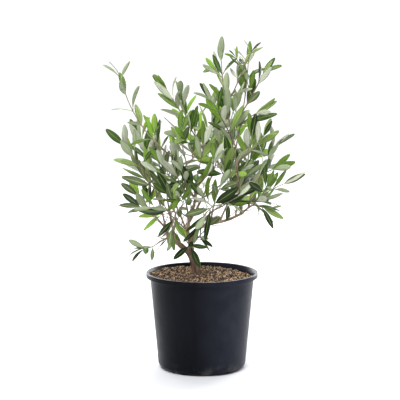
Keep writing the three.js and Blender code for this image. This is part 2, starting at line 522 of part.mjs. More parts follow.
function planMass([name, bough, seed, shoots, fruit], limbs) {
  const draw = seeded(seed);
  const from = limbs[bough];
  const start = from.curve.at(1).addScaledVector(from.curve.along(1), GAP + 0.05);
  const mass = { name, from, twigs: [], leaves: [], fruit: [] };
  shoots.forEach(([at, reach, bow, sway, pairs, leaf], index) => {
    const root = index ? mass.twigs[0].curve.at(at) : start;
    const curve = curveOf(root, reach, bow, sway);
    const steps = Math.max(2, Math.round(curve.length / STEP_LENGTH.stem));
    const first = index ? STEM_RADIUS.base * 0.85 : Math.min(from.radius(1), STEM_RADIUS.base);
    mass.twigs.push({
      curve, rings: ringsOf(curve, steps, index ? null : from.curve.along(1)), pairs, leaf,
      radius: taper(first, STEM_RADIUS.tip), sides: SIDES.stem, turn: draw() * Math.PI,
    });
  });
  // side sprigs out of the axils
  for (const shoot of mass.twigs.slice()) {
    for (let i = 0; i < shoot.pairs - 1; i += 1) {
      const [chance, size, turn, lean] = [draw(), draw(), draw(), draw()];
      if (chance > SPRIG.chance || shoot.pairs < 3) continue;
      const t = (i + 0.7) / shoot.pairs;
      const ring = ringsOf(shoot.curve, 12)[Math.round(t * 12)];
      const angle = turn * 2 * Math.PI;
      const out = ring.across.clone().multiplyScalar(Math.cos(angle))
        .addScaledVector(ring.side, Math.sin(angle));
      const length = SPRIG.short + (SPRIG.long - SPRIG.short) * size;
      const reach = ring.along.clone().multiplyScalar(0.62 + 0.2 * lean).addScaledVector(out, 0.75)
        .normalize().multiplyScalar(length);
      const curve = curveOf(shoot.curve.at(t), reach.toArray(), out.clone().multiplyScalar(1.2).toArray(),
        [0, 0, 0]);
      const steps = Math.max(2, Math.round(length / STEP_LENGTH.sprig));
      mass.twigs.push({
        curve, rings: ringsOf(curve, steps), pairs: SPRIG.pairs, leaf: shoot.leaf * SPRIG.leaf,
        radius: taper(STEM_RADIUS.sprig, STEM_RADIUS.sprigTip), sides: SIDES.sprig,
        turn: draw() * Math.PI, sprig: true, parent: shoot,
      });
    }
  }
  for (const [at, stalk, across, along] of fruit) {
    const root = mass.twigs[0].curve.at(at);
    const foot = root.clone().add(vec(stalk));
    mass.fruit.push({ root, foot, across, along, centre: foot.clone().addScaledVector(UP, -along * 0.85) });
  }
  // leaf pairs, each turned a quarter turn from the last, and one leaf at the tip
  for (const twig of mass.twigs) {
    const rings = ringsOf(twig.curve, 24);
    for (let i = 0; i < twig.pairs; i += 1) {
      const t = Math.min((i + 1 - 0.35 * (1 - i / twig.pairs)) / twig.pairs, 0.985);
      const ring = rings[Math.round(t * 24)];
      for (let k = 0; k < 2; k += 1) {
        const [jitter, size, roll, lift, wide] = [draw(), draw(), draw(), draw(), draw()];
        const angle = twig.turn + i * Math.PI / 2 + k * Math.PI + (jitter - 0.5) * 0.7;
        const out = ring.across.clone().multiplyScalar(Math.cos(angle))
          .addScaledVector(ring.side, Math.sin(angle));
        const spread = SPREAD.base + (SPREAD.tip - SPREAD.base) * t + (lift - 0.5) * 2 * SPREAD.jitter;
        const length = twig.leaf * (1.04 + 0.36 * size) * (1 - 0.18 * t * t);
        mass.leaves.push(leafPlan(twig, twig.curve.at(t), ring.along, out, spread, length, roll, wide));
      }
    }
    const [size, roll, wide, turn] = [draw(), draw(), draw(), draw()];
    const last = rings[24];
    const out = last.across.clone().multiplyScalar(Math.cos(turn * 6.28))
      .addScaledVector(last.side, Math.sin(turn * 6.28));
    mass.leaves.push(leafPlan(twig, twig.curve.at(0.99), last.along, out, 0.16,
      twig.leaf * (0.9 + 0.2 * size), roll, wide));
  }
  return mass;
}

// A leaf and its two second choices, held closer to the shoot or further out, in case it has no room.
function leafPlan(twig, root, along, out, spread, length, roll, wide) {
  const choices = CHOICES.map(([lean, share]) => {
    const angle = spread + lean;
    const long = length * share;
    const forward = along.clone().multiplyScalar(Math.cos(angle)).addScaledVector(out, Math.sin(angle));
    forward.z -= DROOP * Math.hypot(forward.x, forward.y);
    forward.normalize();
    const face = along.clone().addScaledVector(forward, -along.dot(forward)).normalize();
    const side = forward.clone().cross(face);
    const facing = face.y < 0 ? -1 : 1;
    const turn = (roll - 0.5) * LEAF_ROLL + FRONTING * Math.atan2(side.y * facing, face.y * facing);
    face.multiplyScalar(Math.cos(turn)).addScaledVector(side, Math.sin(turn)).normalize();
    const width = long * LEAF.width * (0.85 + 0.3 * wide);
    return { twig, root, forward, face, length: long, width,
      shape: leafShape(root, forward, face, long, width) };
  });
  return { twig, choices };
}

// keep what stays inside the mass's space and clear of limbs, pot and the other masses
function settle(masses, limbs) {
  const wood = Object.values(limbs).flatMap((limb) => piecesOf(limb.rings, limb.radius)
    .map((piece) => ({ owner: limb.name, piece })));
  const placed = [];
  const clearOf = (shape, list, owner, own) => list.every((other) => {
    if (other.owner !== owner) return apart(shape, other.piece) > CLEAR;
    if (other.twig === own.twig || (other.root && other.root.distanceTo(own.root) < 3)) return true;
    return apart(shape, other.piece) > 0;
  });
  for (const mass of masses) {
    mass.space = new THREE.Box3();
    mass.twigs.filter((twig) => !twig.sprig)
      .forEach((twig) => twig.rings.forEach((ring) => mass.space.expandByPoint(ring.centre)));
    mass.space.expandByScalar(MARGIN);
    for (const twig of mass.twigs.filter((one) => !one.sprig)) {
      placed.push(...piecesOf(twig.rings, twig.radius).map((piece) => ({ owner: mass.name, piece, twig })));
    }
    for (const olive of mass.fruit) {
      const stalk = lineShape(olive.root, olive.foot, 0.6);
      const ball = lineShape(olive.centre, olive.centre, olive.along);
      placed.push({ owner: mass.name, piece: stalk }, { owner: mass.name, piece: ball });
    }
  }
  const inside = (mass, p) => mass.space.containsPoint(p) && p.z > FLOOR;
  for (const mass of masses) {
    mass.twigs = mass.twigs.filter((twig) => {
      if (!twig.sprig) return true;
      const pieces = piecesOf(twig.rings, twig.radius);
      const own = { twig: twig.parent, root: twig.curve.at(0) };
      const keep = inside(mass, twig.curve.at(1)) && pieces.every((piece) => clearOf(piece, wood, null, own)
        && clearOf(piece, placed, mass.name, own));
      if (keep) placed.push(...pieces.map((piece) => ({ owner: mass.name, piece, twig })));
      return keep;
    });
  }
  for (const mass of masses) {
    mass.leaves = mass.leaves.filter(({ twig }) => mass.twigs.includes(twig)).flatMap(({ choices }) => {
      const leaf = choices.find((one) => inside(mass, one.shape.corners[2])
        && clearOf(one.shape, wood, null, one) && clearOf(one.shape, placed, mass.name, one));
      if (!leaf) return [];
      placed.push({ owner: mass.name, piece: leaf.shape, root: leaf.root });
      return [leaf];
    });
  }
}

function oliveSolid(olive) {
  const ball = new THREE.IcosahedronGeometry(1, 1);
  ball.scale(olive.across, olive.across, olive.along);
  ball.translate(olive.centre.x, olive.centre.y, olive.centre.z);
  const reach = olive.foot.clone().addScaledVector(UP, -1).sub(olive.root).toArray();
  const stalk = ringsOf(curveOf(olive.root, reach, [0, 0, 1.5], [0, 0, 0]), 2);
  return [solidOf(ball), tubeOf(stalk, SIDES.sprig, taper(0.7, 0.6))];
}

function massSolid(mass) {
  const parts = mass.twigs.map((twig) => tubeOf(twig.rings, twig.sides, twig.radius));
  mass.leaves.forEach(({ root, forward, face, length, width }) => {
    parts.push(leafSolid(root, forward, face, length, width));
  });
  mass.fruit.forEach((olive) => parts.push(...oliveSolid(olive)));
  return largest(wasm.Manifold.union(parts).asOriginal().simplify(FINE));
}

// ---- the plant ----------------------------------------------------------------------------------
const materialOf = (color, roughness, name) => new THREE.MeshStandardMaterial({
  color, roughness, metalness: 0, name,
});
const MATERIALS = {
  pot: materialOf(COLOURS.pot, 0.55, 'black plastic'),
  soil: materialOf(COLOURS.soil, 0.95, 'potting soil'),
  trunk: materialOf(COLOURS.trunk, 0.9, 'bark'),
  bough: materialOf(COLOURS.bough, 0.85, 'young bark'),
  leaves: materialOf(COLOURS.leaves, 0.6, 'olive leaves'),
};

const tree = new THREE.Group();
tree.name = 'potted_olive_tree';

function addMesh(name, solid, material) {
  const mesh = new THREE.Mesh(geometryOf(solid), material);
  mesh.name = name;
  tree.add(mesh);
}

addMesh('pot', potSolid(), MATERIALS.pot);
addMesh('soil', soilSolid(), MATERIALS.soil);

const limbs = growLimbs();
for (const limb of Object.values(limbs)) {
  addMesh(limb.name, limb.solid, limb.name === 'trunk' ? MATERIALS.trunk : MATERIALS.bough);
}

const masses = MASSES.map((plan) => planMass(plan, limbs));
settle(masses, limbs);
for (const mass of masses) addMesh(mass.name, massSolid(mass), MATERIALS.leaves);

export default tree;
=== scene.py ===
"""Potted olive tree: the finished looks of pot, soil, bark, twigs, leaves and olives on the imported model.

The limbs and leaf sprays grow by the same tables and the same seeded rule as the part's solids, carried on
to finer twigs and true leaf outlines. Sizes in the tables are millimetres; every mesh is made in metres.
"""

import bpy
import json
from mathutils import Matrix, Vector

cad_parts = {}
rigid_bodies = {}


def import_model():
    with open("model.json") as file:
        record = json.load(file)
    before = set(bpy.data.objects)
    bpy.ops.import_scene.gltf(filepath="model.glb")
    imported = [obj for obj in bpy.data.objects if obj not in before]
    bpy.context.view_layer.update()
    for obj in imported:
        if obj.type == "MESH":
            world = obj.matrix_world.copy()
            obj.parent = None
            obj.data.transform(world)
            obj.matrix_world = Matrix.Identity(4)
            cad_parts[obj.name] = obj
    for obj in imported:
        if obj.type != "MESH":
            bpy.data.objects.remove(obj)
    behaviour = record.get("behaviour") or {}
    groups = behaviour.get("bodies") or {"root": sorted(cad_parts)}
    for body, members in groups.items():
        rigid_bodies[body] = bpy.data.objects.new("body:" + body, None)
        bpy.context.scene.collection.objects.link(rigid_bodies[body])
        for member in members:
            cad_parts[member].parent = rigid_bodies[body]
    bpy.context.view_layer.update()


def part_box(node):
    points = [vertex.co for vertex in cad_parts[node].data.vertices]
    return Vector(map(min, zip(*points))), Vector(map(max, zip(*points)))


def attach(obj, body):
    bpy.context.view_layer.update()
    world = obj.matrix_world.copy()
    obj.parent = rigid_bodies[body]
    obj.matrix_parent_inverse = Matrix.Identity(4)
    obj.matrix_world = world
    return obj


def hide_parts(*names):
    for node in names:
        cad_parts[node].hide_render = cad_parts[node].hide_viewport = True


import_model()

import functools
import itertools
import json
import math
from types import SimpleNamespace as Thing

import bpy
import numpy as np
from bpy.props import FloatProperty, FloatVectorProperty, IntProperty, PointerProperty
from bpy.types import Operator, Panel, PropertyGroup
from mathutils import Euler, Vector, noise

bl_info = {
    "name": "Potted olive tree",
    "version": (1, 0, 0),
    "blender": (4, 5, 0),
    "location": "3D View > Sidebar > Olive tree",
    "description": "Builds a young olive tree in a black nursery pot, piece by piece",
    "category": "Add Mesh",
}

MM = 0.001
BODY = "root"
FULL_TURN = 2 * math.pi
BOX_CORNERS = np.array([(x, y, z) for z in (-0.5, 0.5)
                        for x, y in ((-0.5, -0.5), (0.5, -0.5), (0.5, 0.5), (-0.5, 0.5))])
BOX_FACES = [(3, 2, 1, 0), (4, 5, 6, 7), (0, 1, 5, 4), (1, 2, 6, 5), (2, 3, 7, 6), (3, 0, 4, 7)]

# ---- sizes shared with the solids, millimetres ---------------------------------------------------
POT_HEIGHT, RIM_RADIUS, RIM_SKIRT, WALL = 165, 95, 7.5, 1.6
POT_TOP_RADIUS, POT_FOOT_RADIUS, POT_BASE_RADIUS, HEEL_HEIGHT = 88, 74.4, 66.5, 7
RIM_DEPTH, RIM_WIDTH, FLOOR_TOP = 13, 4.6, WALL + 0.6
NOTCHES = Thing(count=6, width=11, height=4, first=-55)
SLOT = Thing(width=12, bottom=5, top=25, at=-172)
BASE_HOLES = Thing(count=5, radius=5, ring=42, first=30)
SOIL_EDGE, SOIL_CROWN, SOIL_RISE, SOIL_FALL, SOIL_FLOOR = 158.5, 160, -0.035, 78, 4.2
GAP = 0.3
TRUNK_BASE = (-9, 18, SOIL_CROWN + GAP)
TRUNK_FLAT = 12
STEM_BASE, STEM_TIP, SPRIG_BASE, SPRIG_TIP = 1.3, 0.95, 1.0, 0.9
SPRIG = Thing(chance=0.16, short=16, long=30, pairs=2, leaf=0.82)
SPREAD = Thing(base=0.72, tip=0.36, jitter=0.25, last=0.16)
CHOICES = ((0, 1), (-0.35, 0.9), (0.35, 0.85))
LEAF_WIDTH, LEAF_BELLY, LEAF_BEND, LEAF_THICK = 0.28, 0.45, 0.1, 1.2
LEAF_ROLL, FRONTING, DROOP = 1.8, 0.36, 0.06
MARGIN, CLEAR, LOWEST_LEAF, JOINT = 44, 0.9, POT_HEIGHT + 3, 3
STEP = Thing(trunk=7, bough=17, stem=26, sprig=16)
UPRIGHT = np.array((0, 0, 1.0))
# added to a seed, so that the looks, the stems, the bare twigs and the knots each draw numbers of their own
LOOKS, STEMS, SPURS, KNOTS = 300, 700, 900, 500

# limbs: name, parent, where on the parent, reach, bow, first and last radius, and sway where there is any
LIMBS = (
    ("trunk", None, 0, (-7, -5, 27.2), (0.5, 0.5, 0), 7.2, 6.4),
    ("middle_bough", "trunk", 1, (-4, -3, 26), (-0.5, -0.5, 0), 4.6, 3.7),
    ("left_bough", "trunk", 1, (-42, -13, 36.5), (2, 0.5, 3), 4.8, 3.3),
    ("centre_bough", "middle_bough", 1, (10.5, 14, 94.5), (-4.5, 1.5, -1.5), 3.3, 2.2, (-3.5, 0, -0.5)),
    ("right_bough", "middle_bough", 1, (86.5, -45, 57.5), (-7.5, -1.5, 8.5), 3.4, 2.2, (-2.5, 1, 4.5)),
    ("upright_bough", "right_bough", 1, (-14, 8, 104), (1.5, -1, 0.5), 1.9, 1.35, (-0.5, 0, 0)),
    ("right_tip_bough", "right_bough", 1, (15.5, -7, 14), (-0.5, 0, 0.5), 1.9, 1.5),
    ("centre_right_bough", "centre_bough", 1, (30.5, 8, 52), (4, 0.5, -2.5), 2.1, 1.5),
    ("centre_left_bough", "centre_bough", 0.8, (-16, -26, 60), (-3.5, -2.5, -2.5), 2.0, 1.5,
     (-1.5, -0.5, -1)),
    ("back_bough", "centre_bough", 0.36, (39.5, 45.5, 75), (1, 4.5, -3.5), 1.9, 1.4),
    ("right_inner_bough", "centre_bough", 0.74, (51.5, -26.5, 40), (0, -4, -3), 1.7, 1.3),
    ("right_back_bough", "right_bough", 0.31, (38, 12, 34.5), (-4.5, 0.5, 4.5), 1.8, 1.4),
    ("inner_left_bough", "centre_bough", 0.41, (-4.5, -29.5, 33.5), (0, -1, -0.5), 1.8, 1.5),
    ("left_up_bough", "left_bough", 1, (-17.5, -8, 74.5), (1, -1, 0), 1.9, 1.4),
    ("left_out_bough", "left_bough", 0.9, (-32, 19.5, 40), (3, 0.5, 1.5), 1.8, 1.3),
    ("left_inner_bough", "left_bough", 0.74, (-14, 22.5, 72), (-0.5, 2.5, -1), 1.8, 1.4),
    ("low_left_bough", "left_bough", 1, (-18.5, -10, -9), (0, 0, 1), 1.4, 1.1),
    ("low_right_bough", "middle_bough", 0.9, (14.5, -18, 16.5), (-1, -1, -0.5), 1.3, 1.1),
    ("fork_twig", "middle_bough", 0.8, (-1.5, -8, 3.5), (0, 0, 0), 1.3, 1.1),
    ("back_left_bough", "centre_bough", 0.16, (-34, 65, 68), (1, 1, -0.5), 1.9, 1.4),
    ("back_right_bough", "right_bough", 0.63, (27.5, 80.5, 43.5), (-2, 2.5, -3.5), 1.9, 1.4),
    ("front_bough", "centre_bough", 0.56, (5.5, -61.5, 43.5), (1.5, 0, -0.5), 1.8, 1.4),
    ("left_shoot_bough", "centre_left_bough", 0.9, (-43.5, -24, 40), (0, -1.5, -1), 1.3, 1.1),
    ("top_left_bough", "centre_right_bough", 0.74, (-21.5, 7.5, 38), (1, 0, 0.5), 1.4, 1.15),
    ("top_right_bough", "upright_bough", 0.91, (7, 8, 39), (-0.5, 0, 0), 1.3, 1.1),
    ("right_side_bough", "upright_bough", 0.78, (17.5, -4.5, 19.5), (-1, 0.5, 1), 1.2, 1.0),
    ("right_up_bough", "right_tip_bough", 0.72, (12, 3, 41.5), (-1.5, -1, 0.5), 1.4, 1.1),
    ("front_left_bough", "left_bough", 0.86, (7.5, -36, 45), (0.5, -1, -1), 1.6, 1.3),
    ("front_right_bough", "right_bough", 0.49, (3.5, -32.5, 31), (0, 1, 1), 1.6, 1.3),
    ("low_back_bough", "centre_bough", 0.23, (-25.5, 21.5, 19.5), (0, 0.5, -0.5), 1.6, 1.3),
    ("right_rear_bough", "right_bough", 0.9, (4.5, 41.5, 16.5), (-1, 0, -0.5), 1.6, 1.3),
)

# foliage: name, bough, seed, its shoots (where, reach, bow, leaf pairs, leaf length, and sway where there is
# any), then its olives (where, stalk, across, along)
SPRAYS = (
    ("long_left_leaves", "left_shoot_bough", 186, (
        (0, (-64, -24, 116), (-8.5, -2.5, -5), 5, 37, (0, 0.5, -0.5)),
    )),
    ("centre_left_leaves", "centre_left_bough", 255, (
        (0, (43, 10, 72), (6.5, 3, -4.5), 5, 42, (-0.5, 0, -0.5)),
        (0.02, (-11, 3.5, 51.5), (-0.5, -1, 0), 3, 42),
        (0.19, (-4, -18, 45.5), (0, -2.5, -1), 3, 42),
    )),
    ("top_left_leaves", "top_left_bough", 224, (
        (0, (-52.5, 10, 85.5), (0.5, 1, 0), 6, 42, (0, 0.5, 0)),
        (0.36, (-10, -13, 49.5), (-1, -1.5, -0.5), 3, 44),
    )),
    ("crown_leaves", "centre_right_bough", 309, (
        (0, (18, -2, 75.5), (5, -1, -1), 4, 42, (-1.5, 0, 0.5)),
        (0.13, (-29, 22.5, 43), (-3, 0, -2), 3, 34, (0.5, -0.5, 0.5)),
        (0.3, (24, 29.5, 50.5), (2.5, 3.5, -3), 3, 42),
        (0.18, (-9, -27, 62.5), (-2, -3, -1.5), 3, 40),
    )),
    ("tall_leaves", "upright_bough", 194, (
        (0, (-20.5, 9, 149), (-1.5, 1, 0), 7, 42, (1, 0, 0)),
        (0.51, (39.5, -18.5, 88), (1, 1, -0.5), 4, 26, (0.5, 0.5, 0)),
        (0.13, (-32, -20.5, 63), (1.5, -3, 0), 4, 42),
    )),
    ("top_right_leaves", "top_right_bough", 324, (
        (0, (15.5, 18, 114), (2, 2, -1), 5, 44, (0, 1.5, 0)),
        (0.32, (32.5, 10.5, 59.5), (1, -2, -0.5), 4, 40),
        (0.09, (26.5, -9.5, 23), (-1.5, -0.5, 1.5), 2, 42),
    )),
    ("right_side_leaves", "right_side_bough", 160, (
        (0, (26, -10, 28), (1, 0.5, -1), 3, 34),
        (0, (9, -6, 40), (1.5, -1, 0), 3, 38),
    )),
    ("right_leaves", "right_tip_bough", 275, (
        (0, (17.5, -10, -0.5), (0, 0.5, 1.5), 2, 42),
        (0.14, (49, -18, 38), (-4, -1.5, 2.5), 4, 44),
    )),
    ("right_up_leaves", "right_up_bough", 202, (
        (0, (28.5, 15, 53.5), (0.5, 1.5, -0.5), 4, 42),
        (0.05, (24.5, -24, 22), (-3, -2, 1.5), 3, 42),
    )),
    ("back_leaves", "back_bough", 206, (
        (0, (13, 28, 88.5), (5.5, 1.5, -1), 4, 42),
        (0.1, (-20, 30.5, 46), (-4.5, 1, -2.5), 3, 42),
        (0.2, (35, 29.5, 41), (3.5, 3.5, -5), 3, 42),
    )),
    ("right_inner_leaves", "right_inner_bough", 171, (
        (0, (9, -3, 55.5), (4, -3, -1), 4, 42),
        (0.08, (-16.5, -34, 46.5), (-3, -3, -3.5), 3, 42),
    )),
    ("right_back_leaves", "right_back_bough", 339, (
        (0, (35.5, 18, 45.5), (2, -0.5, -1.5), 4, 42),
        (0.1, (2.5, 44.5, 45), (2.5, 3, -3), 3, 42),
    )),
    ("inner_left_leaves", "inner_left_bough", 101, (
        (0, (-21, -19.5, 87), (-2, -4, -1.5), 5, 42, (2, 0, 0.5)),
        (0.4, (-25.5, -32, 32.5), (-1.5, -3, -4), 3, 42),
        (0.05, (9, -16, 20), (1.5, -2, 0), 3, 36),
    ), (0.03, (-11, -6, -12), 5.2, 6.4)),
    ("left_up_leaves", "left_up_bough", 281, (
        (0, (-50.5, -19, 83.5), (2.5, 0, 1.5), 5, 42, (1.5, 1, 1.5)),
        (0.32, (-13.5, 25, 61.5), (2, 5, -1.5), 4, 44),
        (0.02, (15.5, -10, 24.5), (2.5, -1, -2), 2, 32),
        (0.1, (-26, 6, 28), (-1, 1.5, -1), 3, 42),
    )),
    ("left_out_leaves", "left_out_bough", 181, (
        (0, (-23, 14, 27.5), (0, -0.5, 0), 3, 40),
        (0.1, (-27, -5, 13), (0, -1, 1), 3, 40),
    )),
    ("left_inner_leaves", "left_inner_bough", 325, (
        (0, (-12.5, 24, 69), (1.5, 0.5, 0), 4, 42),
        (0.11, (16.5, 23, 40.5), (4, 1.5, -2.5), 3, 40),
        (0.62, (-14, -9.5, 64.5), (-1, 0, 0), 4, 44),
    )),
    ("low_left_leaves", "low_left_bough", 1302, (
        (0, (-20, -1, -7), (0, 0, -2), 2, 31),
    ), (0.8, (-2, -7, 2.5), 5.0, 6.0)),
    ("low_right_leaves", "low_right_bough", 118, (
        (0, (3, -4, -2), (0, 0, 0), 1, 28),
        (0, (22, -20, 31.5), (1.5, -1, 0), 1, 36),
    )),
    ("fork_leaves", "fork_twig", 559, (
        (0, (2, -12, -2), (0, -1, 0.5), 2, 38),
    )),
    ("back_left_leaves", "back_left_bough", 27, (
        (0, (-23, 27.5, 63), (-1, 3, -2), 4, 42),
        (0.16, (16, 27.5, 57), (0, 4.5, -2), 3, 42),
    )),
    ("back_right_leaves", "back_right_bough", 285, (
        (0, (18, 29.5, 62.5), (3.5, 3, -2.5), 4, 42),
        (0.13, (34.5, 12.5, 48), (3, 0, -2), 3, 42),
    )),
    ("front_leaves", "front_bough", 200, (
        (0, (15, -35.5, 82.5), (-1, -4, -1.5), 4, 42),
        (0.04, (-21.5, -29.5, 34.5), (-3, -3, -4.5), 3, 40),
        (0.16, (29.5, -34, 41), (2, -3.5, -4), 3, 40),
    ), (0.42, (-3, -8, -1), 5.2, 6.5), (0.02, (-10, -8, -11), 5.0, 6.4)),
    ("front_left_leaves", "front_left_bough", 285, (
        (0, (-16, -24, 55), (2, -1.5, 0), 4, 42),
        (0.1, (18, -25, 42), (3, -3, -3), 3, 42),
        (0.16, (-36.5, -13.5, 10.5), (0, -1.5, -1.5), 2, 42),
        (0.12, (-6, -15, -26), (0, -1.5, 0), 2, 38),
    )),
    ("front_right_leaves", "front_right_bough", 366, (
        (0, (16, -24, 49), (-1.5, -2, -0.5), 4, 42),
        (0.09, (38.5, -17, 17.5), (0, -2, -2.5), 3, 42),
        (0.06, (-20.5, -20, 31), (-3, -1.5, -3), 3, 42),
        (0.12, (-22, -8, -28), (-1, -1.5, 2), 3, 40),
    )),
    ("low_back_leaves", "low_back_bough", 271, (
        (0, (-22.5, 14, 40.5), (-3, 1.5, -2), 4, 42),
        (0.1, (11.5, 28, 40), (1.5, 2.5, -2), 3, 42),
        (0.19, (-35, -3.5, 6.5), (-1, 2.5, -4.5), 2, 42),
        (0.14, (6, 8, -30), (1, 1.5, 0), 2, 38),
    )),
    ("right_rear_leaves", "right_rear_bough", 376, (
        (0, (28, 24, 29.5), (-0.5, 3, -1.5), 4, 42),
        (0.08, (37.5, 9, 0), (0, 0.5, -3), 3, 42),
        (0.08, (-15.5, 31, 36.5), (-1.5, 3.5, -3.5), 3, 42),
    )),
)


# ---- vectors and curves --------------------------------------------------------------------------
def unit(v):
    """The vector at length one."""
    return v / math.sqrt(float(v @ v))


def cross(a, b):
    """The vector square to both."""
    return np.array((a[1] * b[2] - a[2] * b[1], a[2] * b[0] - a[0] * b[2], a[0] * b[1] - a[1] * b[0]))


class Curve:
    """A smooth line: bow sets its middle off the straight, sway swings its quarters to either side."""

    def __init__(self, start, reach, bow, sway=(0, 0, 0)):
        self.start, self.reach, self.bow, self.sway = (np.array(v, float) for v in (start, reach, bow, sway))
        self.length = float(np.linalg.norm(self.reach))

    def at(self, t):
        return (self.start + self.reach * t + self.bow * (4 * t * (1 - t))
                + self.sway * math.sin(FULL_TURN * t))

    def along(self, t, near=0.01):
        return unit(self.at(min(t + near, 1)) - self.at(max(t - near, 0)))


def rings_of(curve, steps, first_along=None):
    """Centre, direction and two cross directions at even steps, carried on without twist."""
    rings, across = [], None
    for i in range(steps + 1):
        t = i / steps
        along = first_along if i == 0 and first_along is not None else curve.along(t)
        if across is None:
            across = np.array((1.0, 0, 0)) if abs(along[0]) < 0.8 else np.array((0, 1.0, 0))
        across = unit(across - along * float(across @ along))
        rings.append(Thing(t=t, centre=curve.at(t), along=along, across=across, side=cross(across, along)))
    return rings


def taper(first, last):
    """A radius that goes evenly from first to last."""
    return lambda t: first + (last - first) * t


def seeded(seed):
    """Repeatable random numbers from 0 to 1, the same ones that the solids are grown with."""
    mask = 0xFFFFFFFF
    state = (seed * 7919) & mask

    def draw():
        nonlocal state
        state = (state + 0x6D2B79F5) & mask
        n = ((state ^ (state >> 15)) * (1 | state)) & mask
        n = ((n + (((n ^ (n >> 7)) * (61 | n)) & mask)) & mask) ^ n
        return ((n ^ (n >> 14)) & mask) / 4294967296

    return draw


# ---- how far leaves, twigs and limbs are apart ---------------------------------------------------
# owner numbers of the limbs and of no spray at all, the number of no twig, and a root that is near no other
WOOD, NO_SPRAY, NO_TWIG, FAR = -2, -1, -1, 1e9


class Placed:
    """What already stands: each leaf as an outline of four corners, each piece of twig as a line."""

    def __init__(self, room):
        self.count = 0
        self.corners = np.zeros((room, 4, 3))
        self.normal = np.zeros((room, 3))
        self.flat = np.zeros(room, bool)
        self.radius, self.size = np.zeros(room), np.zeros(room)
        self.middle, self.root = np.zeros((room, 3)), np.full((room, 3), FAR)
        self.owner, self.twig = np.zeros(room, int), np.full(room, NO_TWIG)

    def add(self, shape, owner, twig=NO_TWIG, root=None):
        k = self.count
        self.corners[k], self.flat[k] = shape.corners, shape.normal is not None
        if shape.normal is not None:
            self.normal[k] = shape.normal
        self.radius[k], self.size[k], self.middle[k] = shape.radius, shape.size, shape.middle
        self.owner[k], self.twig[k] = owner, twig
        if root is not None:
            self.root[k] = root
        self.count = k + 1

    def clear_of(self, shape, owner, twig, root, clear):
        """True if shape keeps its distance; pieces of its own twig and leaves of its own joint are let by."""
        n = self.count
        away = np.linalg.norm(self.middle[:n] - shape.middle, axis=1) - self.size[:n] - shape.size
        same = self.owner[:n] == owner
        let_by = same & ((self.twig[:n] == twig) | (np.linalg.norm(self.root[:n] - root, axis=1) < JOINT))
        near = np.nonzero((away <= JOINT) & ~let_by)[0]
        if not len(near):
            return True
        gap = self.gaps(shape, near)
        return bool(np.all(gap > np.where(same[near], 0, clear)))

    def gaps(self, one, near):
        """The least distance from one to each of the near pieces, edge to edge and edge to face."""
        two = self.corners[near]
        c, d = two, np.roll(two, -1, axis=1)
        edges = [0, 1, 2, 3] if one.normal is not None else [0]
        a = np.array([one.corners[i] for i in edges])[:, None, None]
        b = np.array([one.corners[(i + 1) % 4] for i in edges])[:, None, None]
        u, v, w = b - a, (d - c)[None], a - c[None]
        dot = lambda p, q: np.sum(p * q, axis=-1)
        uu, uv, vv, uw, vw = dot(u, u), dot(u, v), dot(v, v), dot(u, w), dot(v, w)
        over = lambda p, q: np.where(q > 1e-9, np.clip(p / np.where(q > 1e-9, q, 1), 0, 1), 0)
        s = over(uv * vw - vv * uw, uu * vv - uv * uv)
        t = over(uv * s + vw, vv)
        s = over(uv * t - uw, uu)
        least = np.linalg.norm(w + u * s[..., None] - v * t[..., None], axis=-1).min(axis=(0, 2))
        flat = self.flat[near]
        if flat.any():
            normals, outlines = self.normal[near][flat], two[flat]
            for i in edges:
                least[flat] = np.minimum(least[flat], line_over(
                    one.corners[i], one.corners[(i + 1) % 4], outlines, normals))
        if one.normal is not None:
            mine, my_normal = one.corners[None], one.normal[None]
            for k in range(len(near)):
                for j in range(4 if flat[k] else 1):
                    least[k] = min(least[k], line_over(c[k, j], d[k, j], mine, my_normal)[0])
        return least - self.radius[near] - one.radius


def points_over(p, outlines, normals):
    """How high p stands over each outline, or infinity where it isn't over it."""
    lift = np.sum((p - outlines[:, 0]) * normals, axis=-1)
    foot = p - normals * lift[:, None]
    edge = np.roll(outlines, -1, axis=1) - outlines
    inside = np.sum(np.cross(edge, foot[:, None] - outlines) * normals[:, None], axis=-1) >= 0
    return np.where(inside.all(axis=1), np.abs(lift), np.inf)


def line_over(a, b, outlines, normals):
    """How near the line from a to b comes to each outline's face: nought where it goes through."""
    least = np.minimum(points_over(a, outlines, normals), points_over(b, outlines, normals))
    la = np.sum((a - outlines[:, 0]) * normals, axis=-1)
    lb = np.sum((b - outlines[:, 0]) * normals, axis=-1)
    through = la * lb < 0
    share = np.where(through, la / np.where(through, la - lb, 1), 0)
    meet = a + (b - a) * share[:, None]
    over = points_over(meet, outlines, normals)
    return np.where(through & np.isfinite(over), 0, least)


def line_shape(a, b, radius):
    """A piece of twig, an olive or its stalk as a thick line."""
    return Thing(corners=np.array((a, b, b, b)), normal=None, radius=radius, middle=(a + b) / 2,
                 size=float(np.linalg.norm(b - a)) / 2)


def pieces_of(stem):
    """The limb or twig as short straight pieces."""
    return [line_shape(low.centre, high.centre, stem.radius(low.t))
            for low, high in zip(stem.rings, stem.rings[1:])]


def leaf_shape(root, forward, face, length, width):
    """A leaf as the outline of four corners that it takes up among the others."""
    side = cross(forward, face)
    belly = root + forward * (LEAF_BELLY * length)
    tip = root + forward * length - face * (LEAF_BEND * length)
    corners = np.array((root, belly - side * (width / 2), tip, belly + side * (width / 2)))
    normal = unit(cross(corners[1] - corners[3], corners[2] - corners[0]))
    return Thing(corners=corners, normal=normal, radius=LEAF_THICK * 0.7, size=length / 2 + 2,
                 middle=root + forward * (length / 2))


# ---- the growth rule -----------------------------------------------------------------------------
def trunk_taper(first, last):
    """Tapers the trunk, with a flare over the roots and a slight swelling below the fork."""
    return lambda t: (taper(first, last)(t) + 1.2 * math.exp(-t / 0.16)
                      + 0.5 * math.exp(-(((t - 1) / 0.25) ** 2)))


